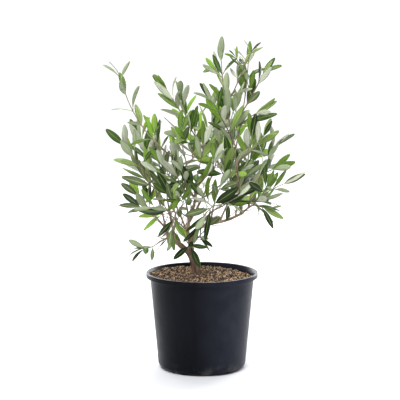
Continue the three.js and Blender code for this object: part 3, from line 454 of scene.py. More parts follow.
def grow_limbs():
    """Trunk and boughs by name, each from its place on the limb that bears it."""
    limbs = {}
    for name, parent, where, reach, bow, first, last, *sway in LIMBS:
        if parent:
            curve = Curve(limbs[parent].curve.at(where), reach, bow, *sway)
            steps, radius, first_along = max(2, round_up(curve.length / STEP.bough)), taper(first, last), None
        else:
            curve = Curve(TRUNK_BASE, reach, bow, *sway)
            steps, radius, first_along = STEP.trunk, trunk_taper(first, last), UPRIGHT
        limbs[name] = Thing(name=name, parent=parent, curve=curve, radius=radius, first_along=first_along,
                            rings=rings_of(curve, steps, first_along))
    return limbs


def round_up(x):
    """Rounds a half upwards."""
    return int(math.floor(x + 0.5))


def plan_spray(number, plan, limbs, numbers):
    """All that a spray would like to grow: its shoots, a few sprigs, olives, and leaves on every twig."""
    name, bough, seed, shoots, *fruit = plan
    draw = seeded(seed)
    limb = limbs[bough]
    start = limb.curve.at(1) + limb.curve.along(1) * (GAP + 0.05)
    spray = Thing(name=name, number=number, limb=limb, twigs=[], leaves=[], fruit=[], seed=seed)

    def add_twig(curve, step, first_along=None, **what):
        rings = rings_of(curve, max(2, round_up(curve.length / step)), first_along)
        spray.twigs.append(Thing(number=next(numbers), curve=curve, rings=rings, turn=draw() * math.pi,
                                 **what))

    for index, (at, reach, bow, pairs, leaf, *sway) in enumerate(shoots):
        root = spray.twigs[0].curve.at(at) if index else start
        first = STEM_BASE * 0.85 if index else min(limb.radius(1), STEM_BASE)
        add_twig(Curve(root, reach, bow, *sway), STEP.stem, None if index else limb.curve.along(1),
                 pairs=pairs, leaf=leaf, radius=taper(first, STEM_TIP), sprig=False, parent=None)
    for shoot in list(spray.twigs):
        for i in range(shoot.pairs - 1):
            chance, size, turn, lean = draw(), draw(), draw(), draw()
            if chance > SPRIG.chance or shoot.pairs < 3:
                continue
            t = (i + 0.7) / shoot.pairs
            ring = rings_of(shoot.curve, 12)[round_up(t * 12)]
            out = ring_out(ring, turn * FULL_TURN)
            length = SPRIG.short + (SPRIG.long - SPRIG.short) * size
            reach = unit(ring.along * (0.62 + 0.2 * lean) + out * 0.75) * length
            add_twig(Curve(shoot.curve.at(t), reach, out * 1.2), STEP.sprig, pairs=SPRIG.pairs, sprig=True,
                     leaf=shoot.leaf * SPRIG.leaf, radius=taper(SPRIG_BASE, SPRIG_TIP), parent=shoot)
    for at, stalk, across, along in fruit:
        root = spray.twigs[0].curve.at(at)
        foot = root + np.array(stalk, float)
        spray.fruit.append(Thing(root=root, foot=foot, across=across, along=along,
                                 centre=foot - np.array((0, 0, along * 0.85))))
    for twig in spray.twigs:
        spray.leaves += leaves_along(twig, draw)
    return spray


def ring_out(ring, angle):
    """The direction that points out of a stem at this ring and angle."""
    return ring.across * math.cos(angle) + ring.side * math.sin(angle)


def leaves_along(twig, draw):
    """Leaf pairs, each turned a quarter turn from the last, and one leaf at the tip."""
    leaves, steps = [], 24
    rings = rings_of(twig.curve, steps)
    for i in range(twig.pairs):
        t = min(joint_at(twig, i), 0.985)
        ring = rings[round_up(t * steps)]
        for k in range(2):
            jitter, size, roll, lift, wide = draw(), draw(), draw(), draw(), draw()
            out = ring_out(ring, twig.turn + i * math.pi / 2 + k * math.pi + (jitter - 0.5) * 0.7)
            spread = SPREAD.base + (SPREAD.tip - SPREAD.base) * t + (lift - 0.5) * 2 * SPREAD.jitter
            length = twig.leaf * (1.04 + 0.36 * size) * (1 - 0.18 * t * t)
            leaves.append(plan_leaf(twig, twig.curve.at(t), ring.along, out, spread, length, roll, wide))
    size, roll, wide, turn = draw(), draw(), draw(), draw()
    last, length = rings[-1], twig.leaf * (0.9 + 0.2 * size)
    out = ring_out(last, turn * 6.28)
    return leaves + [plan_leaf(twig, twig.curve.at(0.99), last.along, out, SPREAD.last, length, roll, wide)]


def joint_at(twig, i):
    """Where on the twig its leaf pair number i stands: further apart near the tip."""
    return (i + 1 - 0.35 * (1 - i / twig.pairs)) / twig.pairs


def plan_leaf(twig, root, along, out, spread, length, roll, wide):
    """A leaf and its two second choices, held closer to the shoot or further out, in case it has no room."""
    choices = []
    for lean, share in CHOICES:
        angle, long = spread + lean, length * share
        forward = along * math.cos(angle) + out * math.sin(angle)
        forward[2] -= DROOP * math.hypot(forward[0], forward[1])
        forward = unit(forward)
        face = unit(along - forward * float(along @ forward))
        side = cross(forward, face)
        front, across = face[1], side[1]
        if front < 0:
            front, across = -front, -across
        turn = (roll - 0.5) * LEAF_ROLL + FRONTING * math.atan2(across, front)
        face = unit(face * math.cos(turn) + side * math.sin(turn))
        width = long * LEAF_WIDTH * (0.85 + 0.3 * wide)
        choices.append(Thing(root=root, forward=forward, face=face, length=long, width=width,
                             shape=leaf_shape(root, forward, face, long, width)))
    return Thing(twig=twig, choices=choices)


def settle(sprays, limbs):
    """Keeps what stays inside each spray's space and clear of limbs, pot and the other sprays."""
    wood, placed = Placed(room=400), Placed(room=8000)
    for limb in limbs.values():
        for piece in pieces_of(limb):
            wood.add(piece, WOOD)
    for spray in sprays:
        centres = np.array([r.centre for twig in spray.twigs if not twig.sprig for r in twig.rings])
        spray.low, spray.high = centres.min(0) - MARGIN, centres.max(0) + MARGIN
        for twig in spray.twigs:
            if not twig.sprig:
                for piece in pieces_of(twig):
                    placed.add(piece, spray.number, twig.number)
        for olive in spray.fruit:
            placed.add(line_shape(olive.root, olive.foot, 0.6), spray.number)
            placed.add(line_shape(olive.centre, olive.centre, olive.along), spray.number)

    def inside(spray, p):
        return np.all(p >= spray.low) and np.all(p <= spray.high) and p[2] > LOWEST_LEAF

    def fits(shape, spray, twig, root):
        return (wood.clear_of(shape, NO_SPRAY, NO_TWIG, root, CLEAR)
                and placed.clear_of(shape, spray.number, twig.number, root, CLEAR))

    for spray in sprays:
        kept = []
        for twig in spray.twigs:
            if not twig.sprig:
                kept.append(twig)
                continue
            pieces = pieces_of(twig)
            if inside(spray, twig.curve.at(1)) and all(
                    fits(piece, spray, twig.parent, twig.curve.at(0)) for piece in pieces):
                kept.append(twig)
                for piece in pieces:
                    placed.add(piece, spray.number, twig.number)
        spray.twigs = kept
    for spray in sprays:
        grown = {twig.number for twig in spray.twigs}
        leaves = []
        for plan in spray.leaves:
            for leaf in plan.choices if plan.twig.number in grown else ():
                if inside(spray, leaf.shape.corners[2]) and fits(leaf.shape, spray, plan.twig, leaf.root):
                    placed.add(leaf.shape, spray.number, root=leaf.root)
                    leaves.append(leaf)
                    break
        spray.leaves = leaves


@functools.lru_cache(maxsize=1)
def growth():
    """The whole plant, grown once and then used by every operator."""
    limbs, numbers = grow_limbs(), itertools.count(1)
    sprays = [plan_spray(k, plan, limbs, numbers) for k, plan in enumerate(SPRAYS)]
    settle(sprays, limbs)
    return Thing(limbs=limbs, sprays=sprays)


# ---- meshes --------------------------------------------------------------------------------------
def srgb(*colour):
    """A colour given as 0 to 255 on a screen, as the linear colour that shaders take."""
    return tuple(c / 255 / 12.92 if c <= 10 else ((c / 255 + 0.055) / 1.055) ** 2.4 for c in colour)


def add_piece(name, points, faces, finishes, face_finish=None, smooth=True, slot=None, replaces=()):
    """A mesh piece from points in millimetres, with one material slot for each finish."""
    mesh = bpy.data.meshes.new(name)
    mesh.from_pydata((np.asarray(points) * MM).tolist(), [], faces)
    for finish in finishes:
        mesh.materials.append(finish)
    if face_finish is not None:
        mesh.polygons.foreach_set("material_index", np.asarray(face_finish, np.int32))
    mesh.polygons.foreach_set("use_smooth", np.full(len(mesh.polygons), smooth))
    mesh.update()
    piece = bpy.data.objects.new(name, mesh)
    bpy.context.scene.collection.objects.link(piece)
    if slot:
        dress(piece, replaces)
    return piece


def dress(piece, replaces=()):
    """The piece rides on the plant's body and stands for the solids it covers."""
    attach(piece, BODY)
    if replaces:
        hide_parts(*replaces)


def with_modifier(piece, kind, **values):
    """Puts one modifier on the piece and makes its result the piece's own mesh."""
    modifier = piece.modifiers.new(kind, kind)
    for key, value in values.items():
        setattr(modifier, key, value)
    graph = bpy.context.evaluated_depsgraph_get()
    made = bpy.data.meshes.new_from_object(piece.evaluated_get(graph), depsgraph=graph)
    piece.modifiers.clear()
    old, name = piece.data, piece.data.name
    piece.data = made
    bpy.data.meshes.remove(old)
    made.name = name
    return piece


def tube(rings, radii, sides, spin=0.0):
    """Points and faces of a closed tube; the radii may be one per ring or one per ring and side."""
    turn = np.linspace(0, FULL_TURN, sides, endpoint=False) + spin
    centre = np.array([r.centre for r in rings])[:, None]
    across = np.array([r.across for r in rings])[:, None] * np.cos(turn)[None, :, None]
    side = np.array([r.side for r in rings])[:, None] * np.sin(turn)[None, :, None]
    radii = np.asarray(radii, float)
    if radii.ndim == 1:
        radii = np.repeat(radii[:, None], sides, axis=1)
    points = (centre + (across + side) * radii[:, :, None]).reshape(-1, 3)
    faces = [(i + k, i + n, i + n + sides, i + k + sides)
             for i in range(0, len(points) - sides, sides) for k, n in round_pairs(sides)]
    faces.append(tuple(range(sides - 1, -1, -1)))
    faces.append(tuple(range(len(points) - sides, len(points))))
    return points, faces


def round_pairs(count):
    """Each of count places round a ring with the next one, the last with the first."""
    return [(k, (k + 1) % count) for k in range(count)]


def joined(parts):
    """Many (points, faces, finish) as one set of points, faces and finish numbers."""
    points, faces, finish, start = [], [], [], 0
    for p, f, number in parts:
        points.append(p)
        faces += [tuple(i + start for i in face) for face in f]
        finish += [number] * len(f)
        start += len(p)
    return np.concatenate(points), faces, finish


def facing_out(faces, points, middle):
    """Turns the faces round if the first of them looks inward."""
    a, b, c = (points[i] for i in faces[0][:3])
    if float(cross(b - a, c - a) @ (a - middle)) < 0:
        return [tuple(reversed(face)) for face in faces]
    return faces


# ---- finishes ------------------------------------------------------------------------------------
def set_inputs(node, **values):
    """Sets a node's sockets by name, a blank in the name written as an underscore."""
    for key, value in values.items():
        node.inputs[key.replace("_", " ")].default_value = value


class Finish:
    """A procedural material built node by node round one Principled shader."""

    def __init__(self, name, roughness=0.5, **sockets):
        self.material = bpy.data.materials.new(name)
        self.material.use_nodes = True
        self.tree = self.material.node_tree
        self.shader = self.tree.nodes["Principled BSDF"]
        set_inputs(self.shader, Roughness=roughness, **sockets)
        self.place = self.add("ShaderNodeTexCoord").outputs["Object"]

    def add(self, kind, **values):
        node = self.tree.nodes.new(kind)
        for key, value in values.items():
            setattr(node, key, value)
        return node

    def link(self, a, b):
        self.tree.links.new(a, b)

    def stretched(self, scale):
        node = self.add("ShaderNodeMapping")
        set_inputs(node, Scale=scale)
        self.link(self.place, node.inputs["Vector"])
        return node.outputs["Vector"]

    def noise(self, scale, detail=3.0, roughness=0.55, stretch=None):
        node = self.add("ShaderNodeTexNoise")
        set_inputs(node, Scale=scale, Detail=detail, Roughness=roughness)
        self.link(self.stretched(stretch) if stretch else self.place, node.inputs["Vector"])
        return node.outputs["Fac"]

    def ramp(self, fac, *stops):
        node = self.add("ShaderNodeValToRGB")
        ramp = node.color_ramp
        for k, (place, colour) in enumerate(stops):
            stop = ramp.elements[k] if k < 2 else ramp.elements.new(place)
            stop.position, stop.color = place, (*colour, 1)
        self.link(fac, node.inputs["Fac"])
        return node.outputs["Color"]

    def mix(self, fac, a, b):
        node = self.add("ShaderNodeMix", data_type="RGBA")
        self.link(fac, node.inputs[0])
        for socket, value in ((node.inputs[6], a), (node.inputs[7], b)):
            if isinstance(value, tuple):
                socket.default_value = (*value, 1)
            else:
                self.link(value, socket)
        return node.outputs[2]

    def stretch_range(self, fac, low, high, to_low, to_high):
        node = self.add("ShaderNodeMapRange")
        set_inputs(node, From_Min=low, From_Max=high, To_Min=to_low, To_Max=to_high)
        self.link(fac, node.inputs["Value"])
        return node.outputs["Result"]

    def both(self, operation, a, b):
        node = self.add("ShaderNodeMath", operation=operation)
        self.link(a, node.inputs[0])
        self.link(b, node.inputs[1])
        return node.outputs[0]

    def colour(self, socket):
        self.link(socket, self.shader.inputs["Base Color"])
        return self

    def rough(self, socket):
        self.link(socket, self.shader.inputs["Roughness"])
        return self

    def bump(self, height, strength, distance):
        node = self.add("ShaderNodeBump")
        set_inputs(node, Strength=strength, Distance=distance)
        self.link(height, node.inputs["Height"])
        self.link(node.outputs["Normal"], self.shader.inputs["Normal"])
        return self


def shade(colour, by):
    """The colour made darker, or lighter where by is over one."""
    return tuple(min(c * by, 1.0) for c in colour)


def leaf_skin(name, colour, roughness, spots, **sockets):
    """Waxy or downy leaf skin: soft patches of one green with fine dots."""
    skin = Finish(name, roughness, **sockets)
    patches = skin.noise(90, 2.0)
    tone = skin.ramp(patches, (0.3, shade(colour, 0.82)), (0.7, shade(colour, 1.15)))
    dots = skin.noise(1400, 2.0)
    dots = skin.ramp(dots, (0.35, shade(colour, 1 - spots)), (0.65, shade(colour, 1 + spots)))
    skin.colour(skin.mix(skin.stretch_range(patches, 0.2, 0.8, 0.35, 0.6), tone, dots))
    skin.bump(skin.noise(700, 3.0), 0.25, 0.0002)
    return skin.material


def stem_skin(name, light, dark, roughness=0.7):
    """Young bark: lengthwise flecks and pale pores on green, tan or red-brown."""
    skin = Finish(name, roughness)
    flecks = skin.noise(500, 4.0, stretch=(1, 1, 0.35))
    skin.colour(skin.ramp(flecks, (0.3, dark), (0.52, light), (0.72, shade(light, 1.25))))
    skin.bump(flecks, 0.5, 0.0003)
    return skin.material


def green_stem(name, green):
    return stem_skin(name, green, shade(green, 0.6))


def old_bark(name, light, dark, streak):
    """Rough bark: dark fissures up the limb, grey-brown plates and paler worn streaks."""
    bark = Finish(name, 0.85)
    plates = bark.noise(210, 6.0, 0.65, stretch=(1, 1, 0.28))
    worn = bark.noise(60, 3.0, stretch=(1, 1, 0.4))
    ground = bark.ramp(plates, (0.34, dark), (0.5, light), (0.68, shade(light, 1.3)))
    bark.colour(bark.mix(bark.stretch_range(worn, 0.5, 0.68, 0, 0.75), ground, streak))
    bark.rough(bark.stretch_range(plates, 0.3, 0.7, 0.95, 0.7))
    bark.bump(plates, 0.8, 0.0008)
    return bark.material


def pot_plastic(colour, faded, dust, streaks):
    """Thin black plastic, painted paler on its right side as if lit from there: fine stipple, faint draw
    lines, dust round the heel.
    """
    plastic = Finish("pot_plastic", 0.34, Specular_IOR_Level=0.085, Specular_Tint=(0.84, 0.87, 1, 1))
    stipple = plastic.noise(900, 4.0, 0.7)
    lines = plastic.noise(130, 4.0, 0.6, stretch=(1, 1, 0.15))
    clouds = plastic.noise(28, 4.0, 0.6)
    ground = plastic.ramp(lines, (0.3, shade(colour, 0.8)), (0.7, shade(colour, 1 + streaks)))
    ground = plastic.mix(plastic.stretch_range(stipple, 0.58, 0.72, 0, 0.55), ground, shade(colour, 2.2))
    where = plastic.add("ShaderNodeSeparateXYZ")
    plastic.link(plastic.place, where.inputs[0])
    # painted light: this mask lays a paler tone over the right half of the pot, standing in for light falling
    # from the right
    right = plastic.stretch_range(where.outputs["X"], -0.012, 0.05, 0, 0.9)
    pale = plastic.ramp(clouds, (0.35, shade(faded, 0.85)), (0.65, shade(faded, 1.3)))
    low = plastic.stretch_range(where.outputs["Z"], 0.0, 0.02, 1.0, 0.0)
    grime = plastic.both("MULTIPLY", low, plastic.stretch_range(clouds, 0.5, 0.75, 0, 0.6))
    plastic.colour(plastic.mix(grime, plastic.mix(right, ground, pale), dust))
    plastic.rough(plastic.stretch_range(clouds, 0.3, 0.7, 0.28, 0.42))
    plastic.bump(plastic.both("ADD", stipple, lines), 0.5, 0.0004)
    return plastic.material


def soil_crumb(name, light, dark):
    """Composted bark: fibrous, matt and blotched."""
    crumb = Finish(name, 0.95)
    fibres = crumb.noise(650, 5.0, 0.7)
    crumb.colour(crumb.ramp(fibres, (0.32, dark), (0.6, light), (0.78, shade(light, 1.3))))
    crumb.bump(fibres, 0.9, 0.0008)
    return crumb.material


def olive_skin():
    """Smooth green fruit with pale pin-point spots and a soft bloom."""
    skin = Finish("olive_skin", 0.32, Coat_Weight=0.15)
    bloom = skin.noise(120, 2.0)
    ground = skin.ramp(bloom, (0.3, srgb(58, 84, 34)), (0.7, srgb(92, 122, 52)))
    dots = skin.stretch_range(skin.noise(1500, 1.0), 0.66, 0.74, 0, 0.6)
    skin.colour(skin.mix(dots, ground, srgb(160, 176, 110)))
    skin.bump(skin.noise(500, 2.0), 0.15, 0.0003)
    return skin.material


# ---- settings ------------------------------------------------------------------------------------
def size(name, description, default, low, high):
    return FloatProperty(name=name, description=description, default=default, min=low, max=high,
                         unit="LENGTH", precision=4)


def tint(name, description, default):
    return FloatVectorProperty(name=name, description=description, default=default, min=0, max=1, size=3,
                               subtype="COLOR")


def amount(name, description, default, low, high, subtype="FACTOR", unit="NONE"):
    return FloatProperty(name=name, description=description, default=default, min=low, max=high,
                         subtype=subtype, unit=unit)


def number(name, description, default, low, high):
    return IntProperty(name=name, description=description, default=default, min=low, max=high)


class OLIVE_PG_pot(PropertyGroup):
    """Nursery pot"""
    height: size("Height", "From the flat underside to the top of the rim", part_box("pot")[1][2], 0.05, 0.5)
    rim_round: size("Rim rounding", "Radius of the rim's outer edge", 0.0013, 0.0002, 0.003)
    segments: number("Segments", "Facets round the pot", 168, 32, 512)
    plastic: tint("Plastic", "Colour of the moulded plastic", srgb(8, 9, 13))
    # painted light: the paler tone laid over the pot's right side as if lit from there
    faded: tint("Faded", "Colour of the plastic on its faded side", srgb(35, 37, 47))
    dust: tint("Dust", "Colour of dried soil round the heel", srgb(120, 116, 108))
    streaks: amount("Draw lines", "How strongly the upright draw lines show", 0.45, 0, 1)


class OLIVE_PG_soil(PropertyGroup):
    """Bark soil"""
    crumbs: number("Crumbs", "Loose pieces of bark on the soil", 5200, 0, 20000)
    relief: size("Relief", "Height of the soil's lumps", 0.0022, 0, 0.01)
    light: tint("Light bark", "Colour of the driest crumbs", srgb(206, 180, 146))
    dark: tint("Dark bark", "Colour between the crumbs", srgb(38, 27, 20))


class OLIVE_PG_bark(PropertyGroup):
    """Trunk and boughs"""
    grain: size("Grain", "Edge of the cells that the limbs are joined with", 0.00066, 0.0004, 0.003)
    relief: size("Relief", "Depth of the bark's fissures on the trunk", 0.0007, 0, 0.003)
    trunk: tint("Trunk", "Colour of the old bark", srgb(128, 104, 86))
    bough: tint("Boughs", "Colour of the young bark", srgb(134, 114, 94))
    fissure: tint("Fissures", "Colour deep in the bark", srgb(52, 38, 30))


class OLIVE_PG_leaves(PropertyGroup):
    """Leaves and shoots"""
    width: amount("Width", "Width of a leaf as a share of its length", 0.25, 0.1, 0.5)
    thickness: size("Thickness", "Thickness of a leaf at its midrib", 0.0005, 0.0002, 0.002)
    upper: tint("Upper side", "Middle tone of the waxy upper side", srgb(88, 116, 40))
    under: tint("Underside", "Middle tone of the downy underside", srgb(188, 193, 172))
    # painted glow: the bright yellow-green that stands in for light shining through leaves from behind
    fresh: tint("Young leaf", "Tone of the leaves painted as lit from behind", srgb(138, 184, 62))
    stem: tint("Shoot", "Colour of the green shoots", srgb(132, 136, 98))


class OLIVE_PG_stage(PropertyGroup):
    """Floor, light and camera"""
    floor: tint("Floor", "Colour of the plain floor", (0.7, 0.71, 0.735))
    front: amount("Front light", "Strength of the surround on the camera's side", 0.54, 0, 5)
    back: amount("Back light", "Strength of the surround behind the plant", 1.35, 0, 5)
    lean: amount("Light lean", "How far the brighter side lies to the right", 0.3, -1, 1)
    distance: size("Distance", "Camera to the middle of the pot, along the ground", 2.6, 0.5, 10)
    camera_height: size("Camera height", "Height of the camera above the floor", 0.668, 0, 5)
    tilt: amount("Tilt", "How far the camera looks down", math.radians(8.3), 0, 1.5, subtype="ANGLE")
    lens: amount("Lens", "Focal length on a 36 mm frame", 139.7, 10, 500, subtype="NONE", unit="CAMERA")


# ---- pot -----------------------------------------------------------------------------------------
def rounded(profile):
    """A line of (radius, height, rounding) with each corner turned to an arc."""
    points = []
    for k, (r, z, turn) in enumerate(profile):
        if not turn or k in (0, len(profile) - 1):
            points.append((r, z))
            continue
        here = np.array((r, z), float)
        back, ahead = (np.array(profile[k + d][:2], float) - here for d in (-1, 1))
        cut = min(turn, 0.45 * np.linalg.norm(back), 0.45 * np.linalg.norm(ahead))
        a, b = here + back / np.linalg.norm(back) * cut, here + ahead / np.linalg.norm(ahead) * cut
        for s in np.linspace(0, 1, 5):
            points.append(tuple(a * (1 - s) ** 2 + here * 2 * s * (1 - s) + b * s * s))
    return points


def turned(profile, segments):
    """A closed shape turned round Z, with one point where the profile meets the axis."""
    points, faces, rows = [], [], []
    for r, z in profile:
        count = segments if r > 1e-6 else 1
        rows.append(list(range(len(points), len(points) + count)))
        points += [(r * math.cos(FULL_TURN * k / count), r * math.sin(FULL_TURN * k / count), z)
                   for k in range(count)]
    for low, high in zip(rows, rows[1:]):
        for k, n in round_pairs(segments):
            quad = [low[k % len(low)], low[n % len(low)], high[n % len(high)], high[k % len(high)]]
            face = tuple(dict.fromkeys(quad))
            if len(face) > 2:
                faces.append(face)
    return np.array(points), faces


def wall_radius(z):
    """Outside of the pot's wall at height z."""
    share = (z - HEEL_HEIGHT) / (POT_HEIGHT - RIM_DEPTH - HEEL_HEIGHT)
    return POT_FOOT_RADIUS + (POT_TOP_RADIUS - POT_FOOT_RADIUS) * share


def spun(degrees):
    """The matrix that turns a row of points round Z."""
    a = math.radians(degrees)
    return np.array(((math.cos(a), math.sin(a), 0), (-math.sin(a), math.cos(a), 0), (0, 0, 1)))


def box_at(sizes, degrees, radius, z):
    """A cutter box standing out from the axis in one direction."""
    return (BOX_CORNERS * sizes + (radius, 0, z)) @ spun(degrees), BOX_FACES, 0


class OLIVE_OT_pot(Operator):
    """Turns the pot with its rolled rim, heel, drain slots and holes"""
    bl_idname = "olive.pot"
    bl_label = "Pot"

    def execute(self, context):
        p = context.scene.olive_pot
        top, skirt_in, round_off = p.height / MM, RIM_RADIUS - WALL, p.rim_round / MM
        under = top - RIM_DEPTH
        profile = [
            # underside, heel and outside of the wall
            (0, 0, 0), (POT_BASE_RADIUS, 0, 0.8), (POT_BASE_RADIUS + 4.2, 1.8, 1.5),
            (POT_FOOT_RADIUS, HEEL_HEIGHT, 2), (wall_radius(under), under, 2),
            # under the rim, its skirt and its flat top
            (POT_TOP_RADIUS + 1.8, top - 5.4, 1.5), (skirt_in, top - 3.4, 1.2),
            (skirt_in, top - RIM_SKIRT, 0.5), (RIM_RADIUS, top - RIM_SKIRT, 0.5),
            (RIM_RADIUS, top, round_off), (RIM_RADIUS - RIM_WIDTH, top, round_off),
            # inside of the wall, down to the floor
            (POT_TOP_RADIUS - 0.6, top - 7, 2), (wall_radius(under) - WALL, under - 2, 2),
            (POT_FOOT_RADIUS - WALL, HEEL_HEIGHT + 0.5, 1.5), (POT_BASE_RADIUS + 2.6, FLOOR_TOP + 0.9, 1),
            (POT_BASE_RADIUS - 0.6, FLOOR_TOP, 1), (0, FLOOR_TOP, 0),
        ]
        points, faces = turned(rounded(profile), p.segments)
        plastic = pot_plastic(tuple(p.plastic), tuple(p.faded), tuple(p.dust), p.streaks)
        pot = add_piece("pot_shell", points, faces, [plastic])
        notch, slot = (9, NOTCHES.width, 2 * NOTCHES.height), (12, SLOT.width, SLOT.top - SLOT.bottom)
        cutters = [box_at(notch, NOTCHES.first + k * 360 / NOTCHES.count, POT_FOOT_RADIUS - 1, 0)
                   for k in range(NOTCHES.count)]
        cutters += [box_at(slot, SLOT.at + turn, POT_FOOT_RADIUS, (SLOT.top + SLOT.bottom) / 2)
                    for turn in (0, 180)]
        hole, round_faces = turned([(0, -6), (BASE_HOLES.radius, -6), (BASE_HOLES.radius, 6), (0, 6)], 24)
        cutters += [(hole + (BASE_HOLES.ring, 0, 0) @ spun(BASE_HOLES.first + k * 360 / BASE_HOLES.count),
                     round_faces, 0) for k in range(BASE_HOLES.count)]
        points, faces, _ = joined(cutters)
        cutter = add_piece("pot_cutter", points, faces, [])
        with_modifier(pot, "BOOLEAN", operation="DIFFERENCE", solver="EXACT", object=cutter)
        bpy.data.objects.remove(cutter)
        pot.data.polygons.foreach_set("use_smooth", np.full(len(pot.data.polygons), True))
        pot.data.set_sharp_from_angle(angle=math.radians(35))
        dress(pot, ["pot"])
        return {"FINISHED"}


# ---- soil ----------------------------------------------------------------------------------------
def soil_height(x, y):
    """Level round the trunk, falling away to the wall, with a slight slope across."""
    from_trunk = np.hypot(x - TRUNK_BASE[0], y - TRUNK_BASE[1])
    share = np.clip((from_trunk - TRUNK_FLAT) / SOIL_FALL, 0, 1)
    bumps = 1.1 * np.sin(x * 0.13 + 1) * np.cos(y * 0.16) * np.minimum(share * 5, 1)
    return (SOIL_CROWN + (SOIL_EDGE - SOIL_CROWN) * share ** 1.3 + SOIL_RISE * x * np.minimum(share * 2, 1)
            + bumps)


def bed_height(x, y, relief):
    """Top of the crumbly bed: the soil's height with small lumps and hollows, a little sunk."""
    a = noise.fractal(Vector((x * 0.11, y * 0.11, 3.0)), 0.9, 2.1, 4)
    b = noise.fractal(Vector((x * 0.4, y * 0.4, 9.0)), 0.8, 2.2, 3)
    return soil_height(x, y) + relief * (0.9 * a + 0.45 * b) - 0.8


def soil_reach(z):
    """How far out the soil goes at height z."""
    return wall_radius(z) - WALL - GAP - 0.3


class OLIVE_OT_soil(Operator):
    """Heaps the soil and strews it with crumbs of bark"""
    bl_idname = "olive.soil"
    bl_label = "Soil"

    def execute(self, context):
        p = context.scene.olive_soil
        relief, light, dark = p.relief / MM, tuple(p.light), tuple(p.dark)
        rim, rows, segments = soil_reach(SOIL_EDGE), 44, 132
        profile = [(0, SOIL_FLOOR), (POT_BASE_RADIUS - 2, SOIL_FLOOR)]
        profile += [(soil_reach(z), z) for z in (HEEL_HEIGHT + 3, SOIL_EDGE - 6)]
        profile += [(rim * (1 - k / rows), SOIL_EDGE) for k in range(rows + 1)]
        points, faces = turned(profile, segments)
        for k in np.nonzero(points[:, 2] == SOIL_EDGE)[0]:
            points[k, 2] = bed_height(*points[k, :2], relief)
        tones = [dark, shade(dark, 2), srgb(96, 72, 55), srgb(150, 122, 96), srgb(200, 172, 142),
                 shade(light, 1.3), srgb(206, 166, 146), srgb(230, 190, 124)]
        ground = soil_crumb("soil_ground", srgb(84, 64, 48), dark)
        crumbs = [soil_crumb(f"soil_crumb_{k}", tone, shade(tone, 0.4)) for k, tone in enumerate(tones)]
        add_piece("soil_bed", points, faces, [ground], slot="soil", replaces=["soil"])
        points, faces, finish = self.strew(p.crumbs, rim, relief)
        add_piece("soil_crumbs", points, faces, crumbs, finish, smooth=False, slot="soil")
        return {"FINISHED"}

    def strew(self, count, rim, relief):
        """Crumbs and fibres lying on the bed: most dark, with lighter tones dealt more often towards the
        right and the back as painted light, and partly at random.
        """
        draw = np.random.RandomState(seed=41).rand
        parts, fibres, clear_of_trunk, clear_of_wall = [], 0.16, 9, 0.3
        for _ in range(count):
            reach, way = (rim - 2) * math.sqrt(draw()), draw() * FULL_TURN
            x, y = reach * math.cos(way), reach * math.sin(way)
            if draw() < fibres:
                sizes = np.array((3.5 + 7 * draw(), 0.5 + 0.5 * draw(), 0.5))
            else:
                sizes = np.array((1.2 + 3.4 * draw() ** 2, 0.9 + 1.8 * draw(), 0.6 + 1.2 * draw()))
            if math.hypot(x - TRUNK_BASE[0], y - TRUNK_BASE[1]) < clear_of_trunk + sizes[0] / 2:
                continue
            z = bed_height(x, y, relief) + sizes[2] * (0.1 + 0.6 * draw())
            shape = BOX_CORNERS * (1 - 0.45 * draw(8, 3)) * sizes
            turn, lean, tip = draw() * 6.283, (draw() - 0.5) * 1.1, (draw() - 0.5) * 1.1
            shape = shape @ np.array(Euler((tip, lean, turn)).to_matrix()).T + (x, y, z)
            out = np.hypot(shape[:, 0], shape[:, 1]).max()
            if out > rim - clear_of_wall:
                shape[:, :2] *= (rim - clear_of_wall) / out
            # painted light: crumbs towards the right and the back, where the light falls, lean to lighter
            # tones; the last term is random tone
            bright = 0.42 + 0.0035 * x + 0.002 * y + 0.25 * (draw() - 0.5)
            parts.append((shape, BOX_FACES, self.tone_of(draw(), bright)))
        return joined(parts)

    @staticmethod
    def tone_of(chance, bright):
        """Which of the eight soil tones: the darks where bright is low, straw and tan where it is high."""
        weights = np.array((1.7 - bright, 1.6 - bright, 1.1, 0.9, 0.4 + bright, 0.15 + bright,
                            0.3 + 0.4 * bright, 0.2 + 0.3 * bright)).clip(0.05)
        return int(np.searchsorted(np.cumsum(weights) / weights.sum(), chance))


# ---- trunk and boughs ----------------------------------------------------------------------------
RED_LIMBS = ("upright_bough", "left_up_bough", "left_shoot_bough", "right_side_bough")
# radii from which wood has the trunk's bark and the boughs' bark, and how far the trunk's foot is sunk
OLD_WOOD, BOUGH_WOOD, SUNK_FOOT = 3.9, 1.75, 3.2
# places in the list of bark finishes
TRUNK_BARK, BOUGH_BARK, YOUNG_BARK, RED_BARK = range(4)


def read_all(items, key, kind=np.int32):
    """One value, or one vector, of every vertex, edge corner or face of a mesh."""
    values = np.zeros(len(items) * (3 if kind is np.float32 else 1), kind)
    items.foreach_get(key, values)
    return values


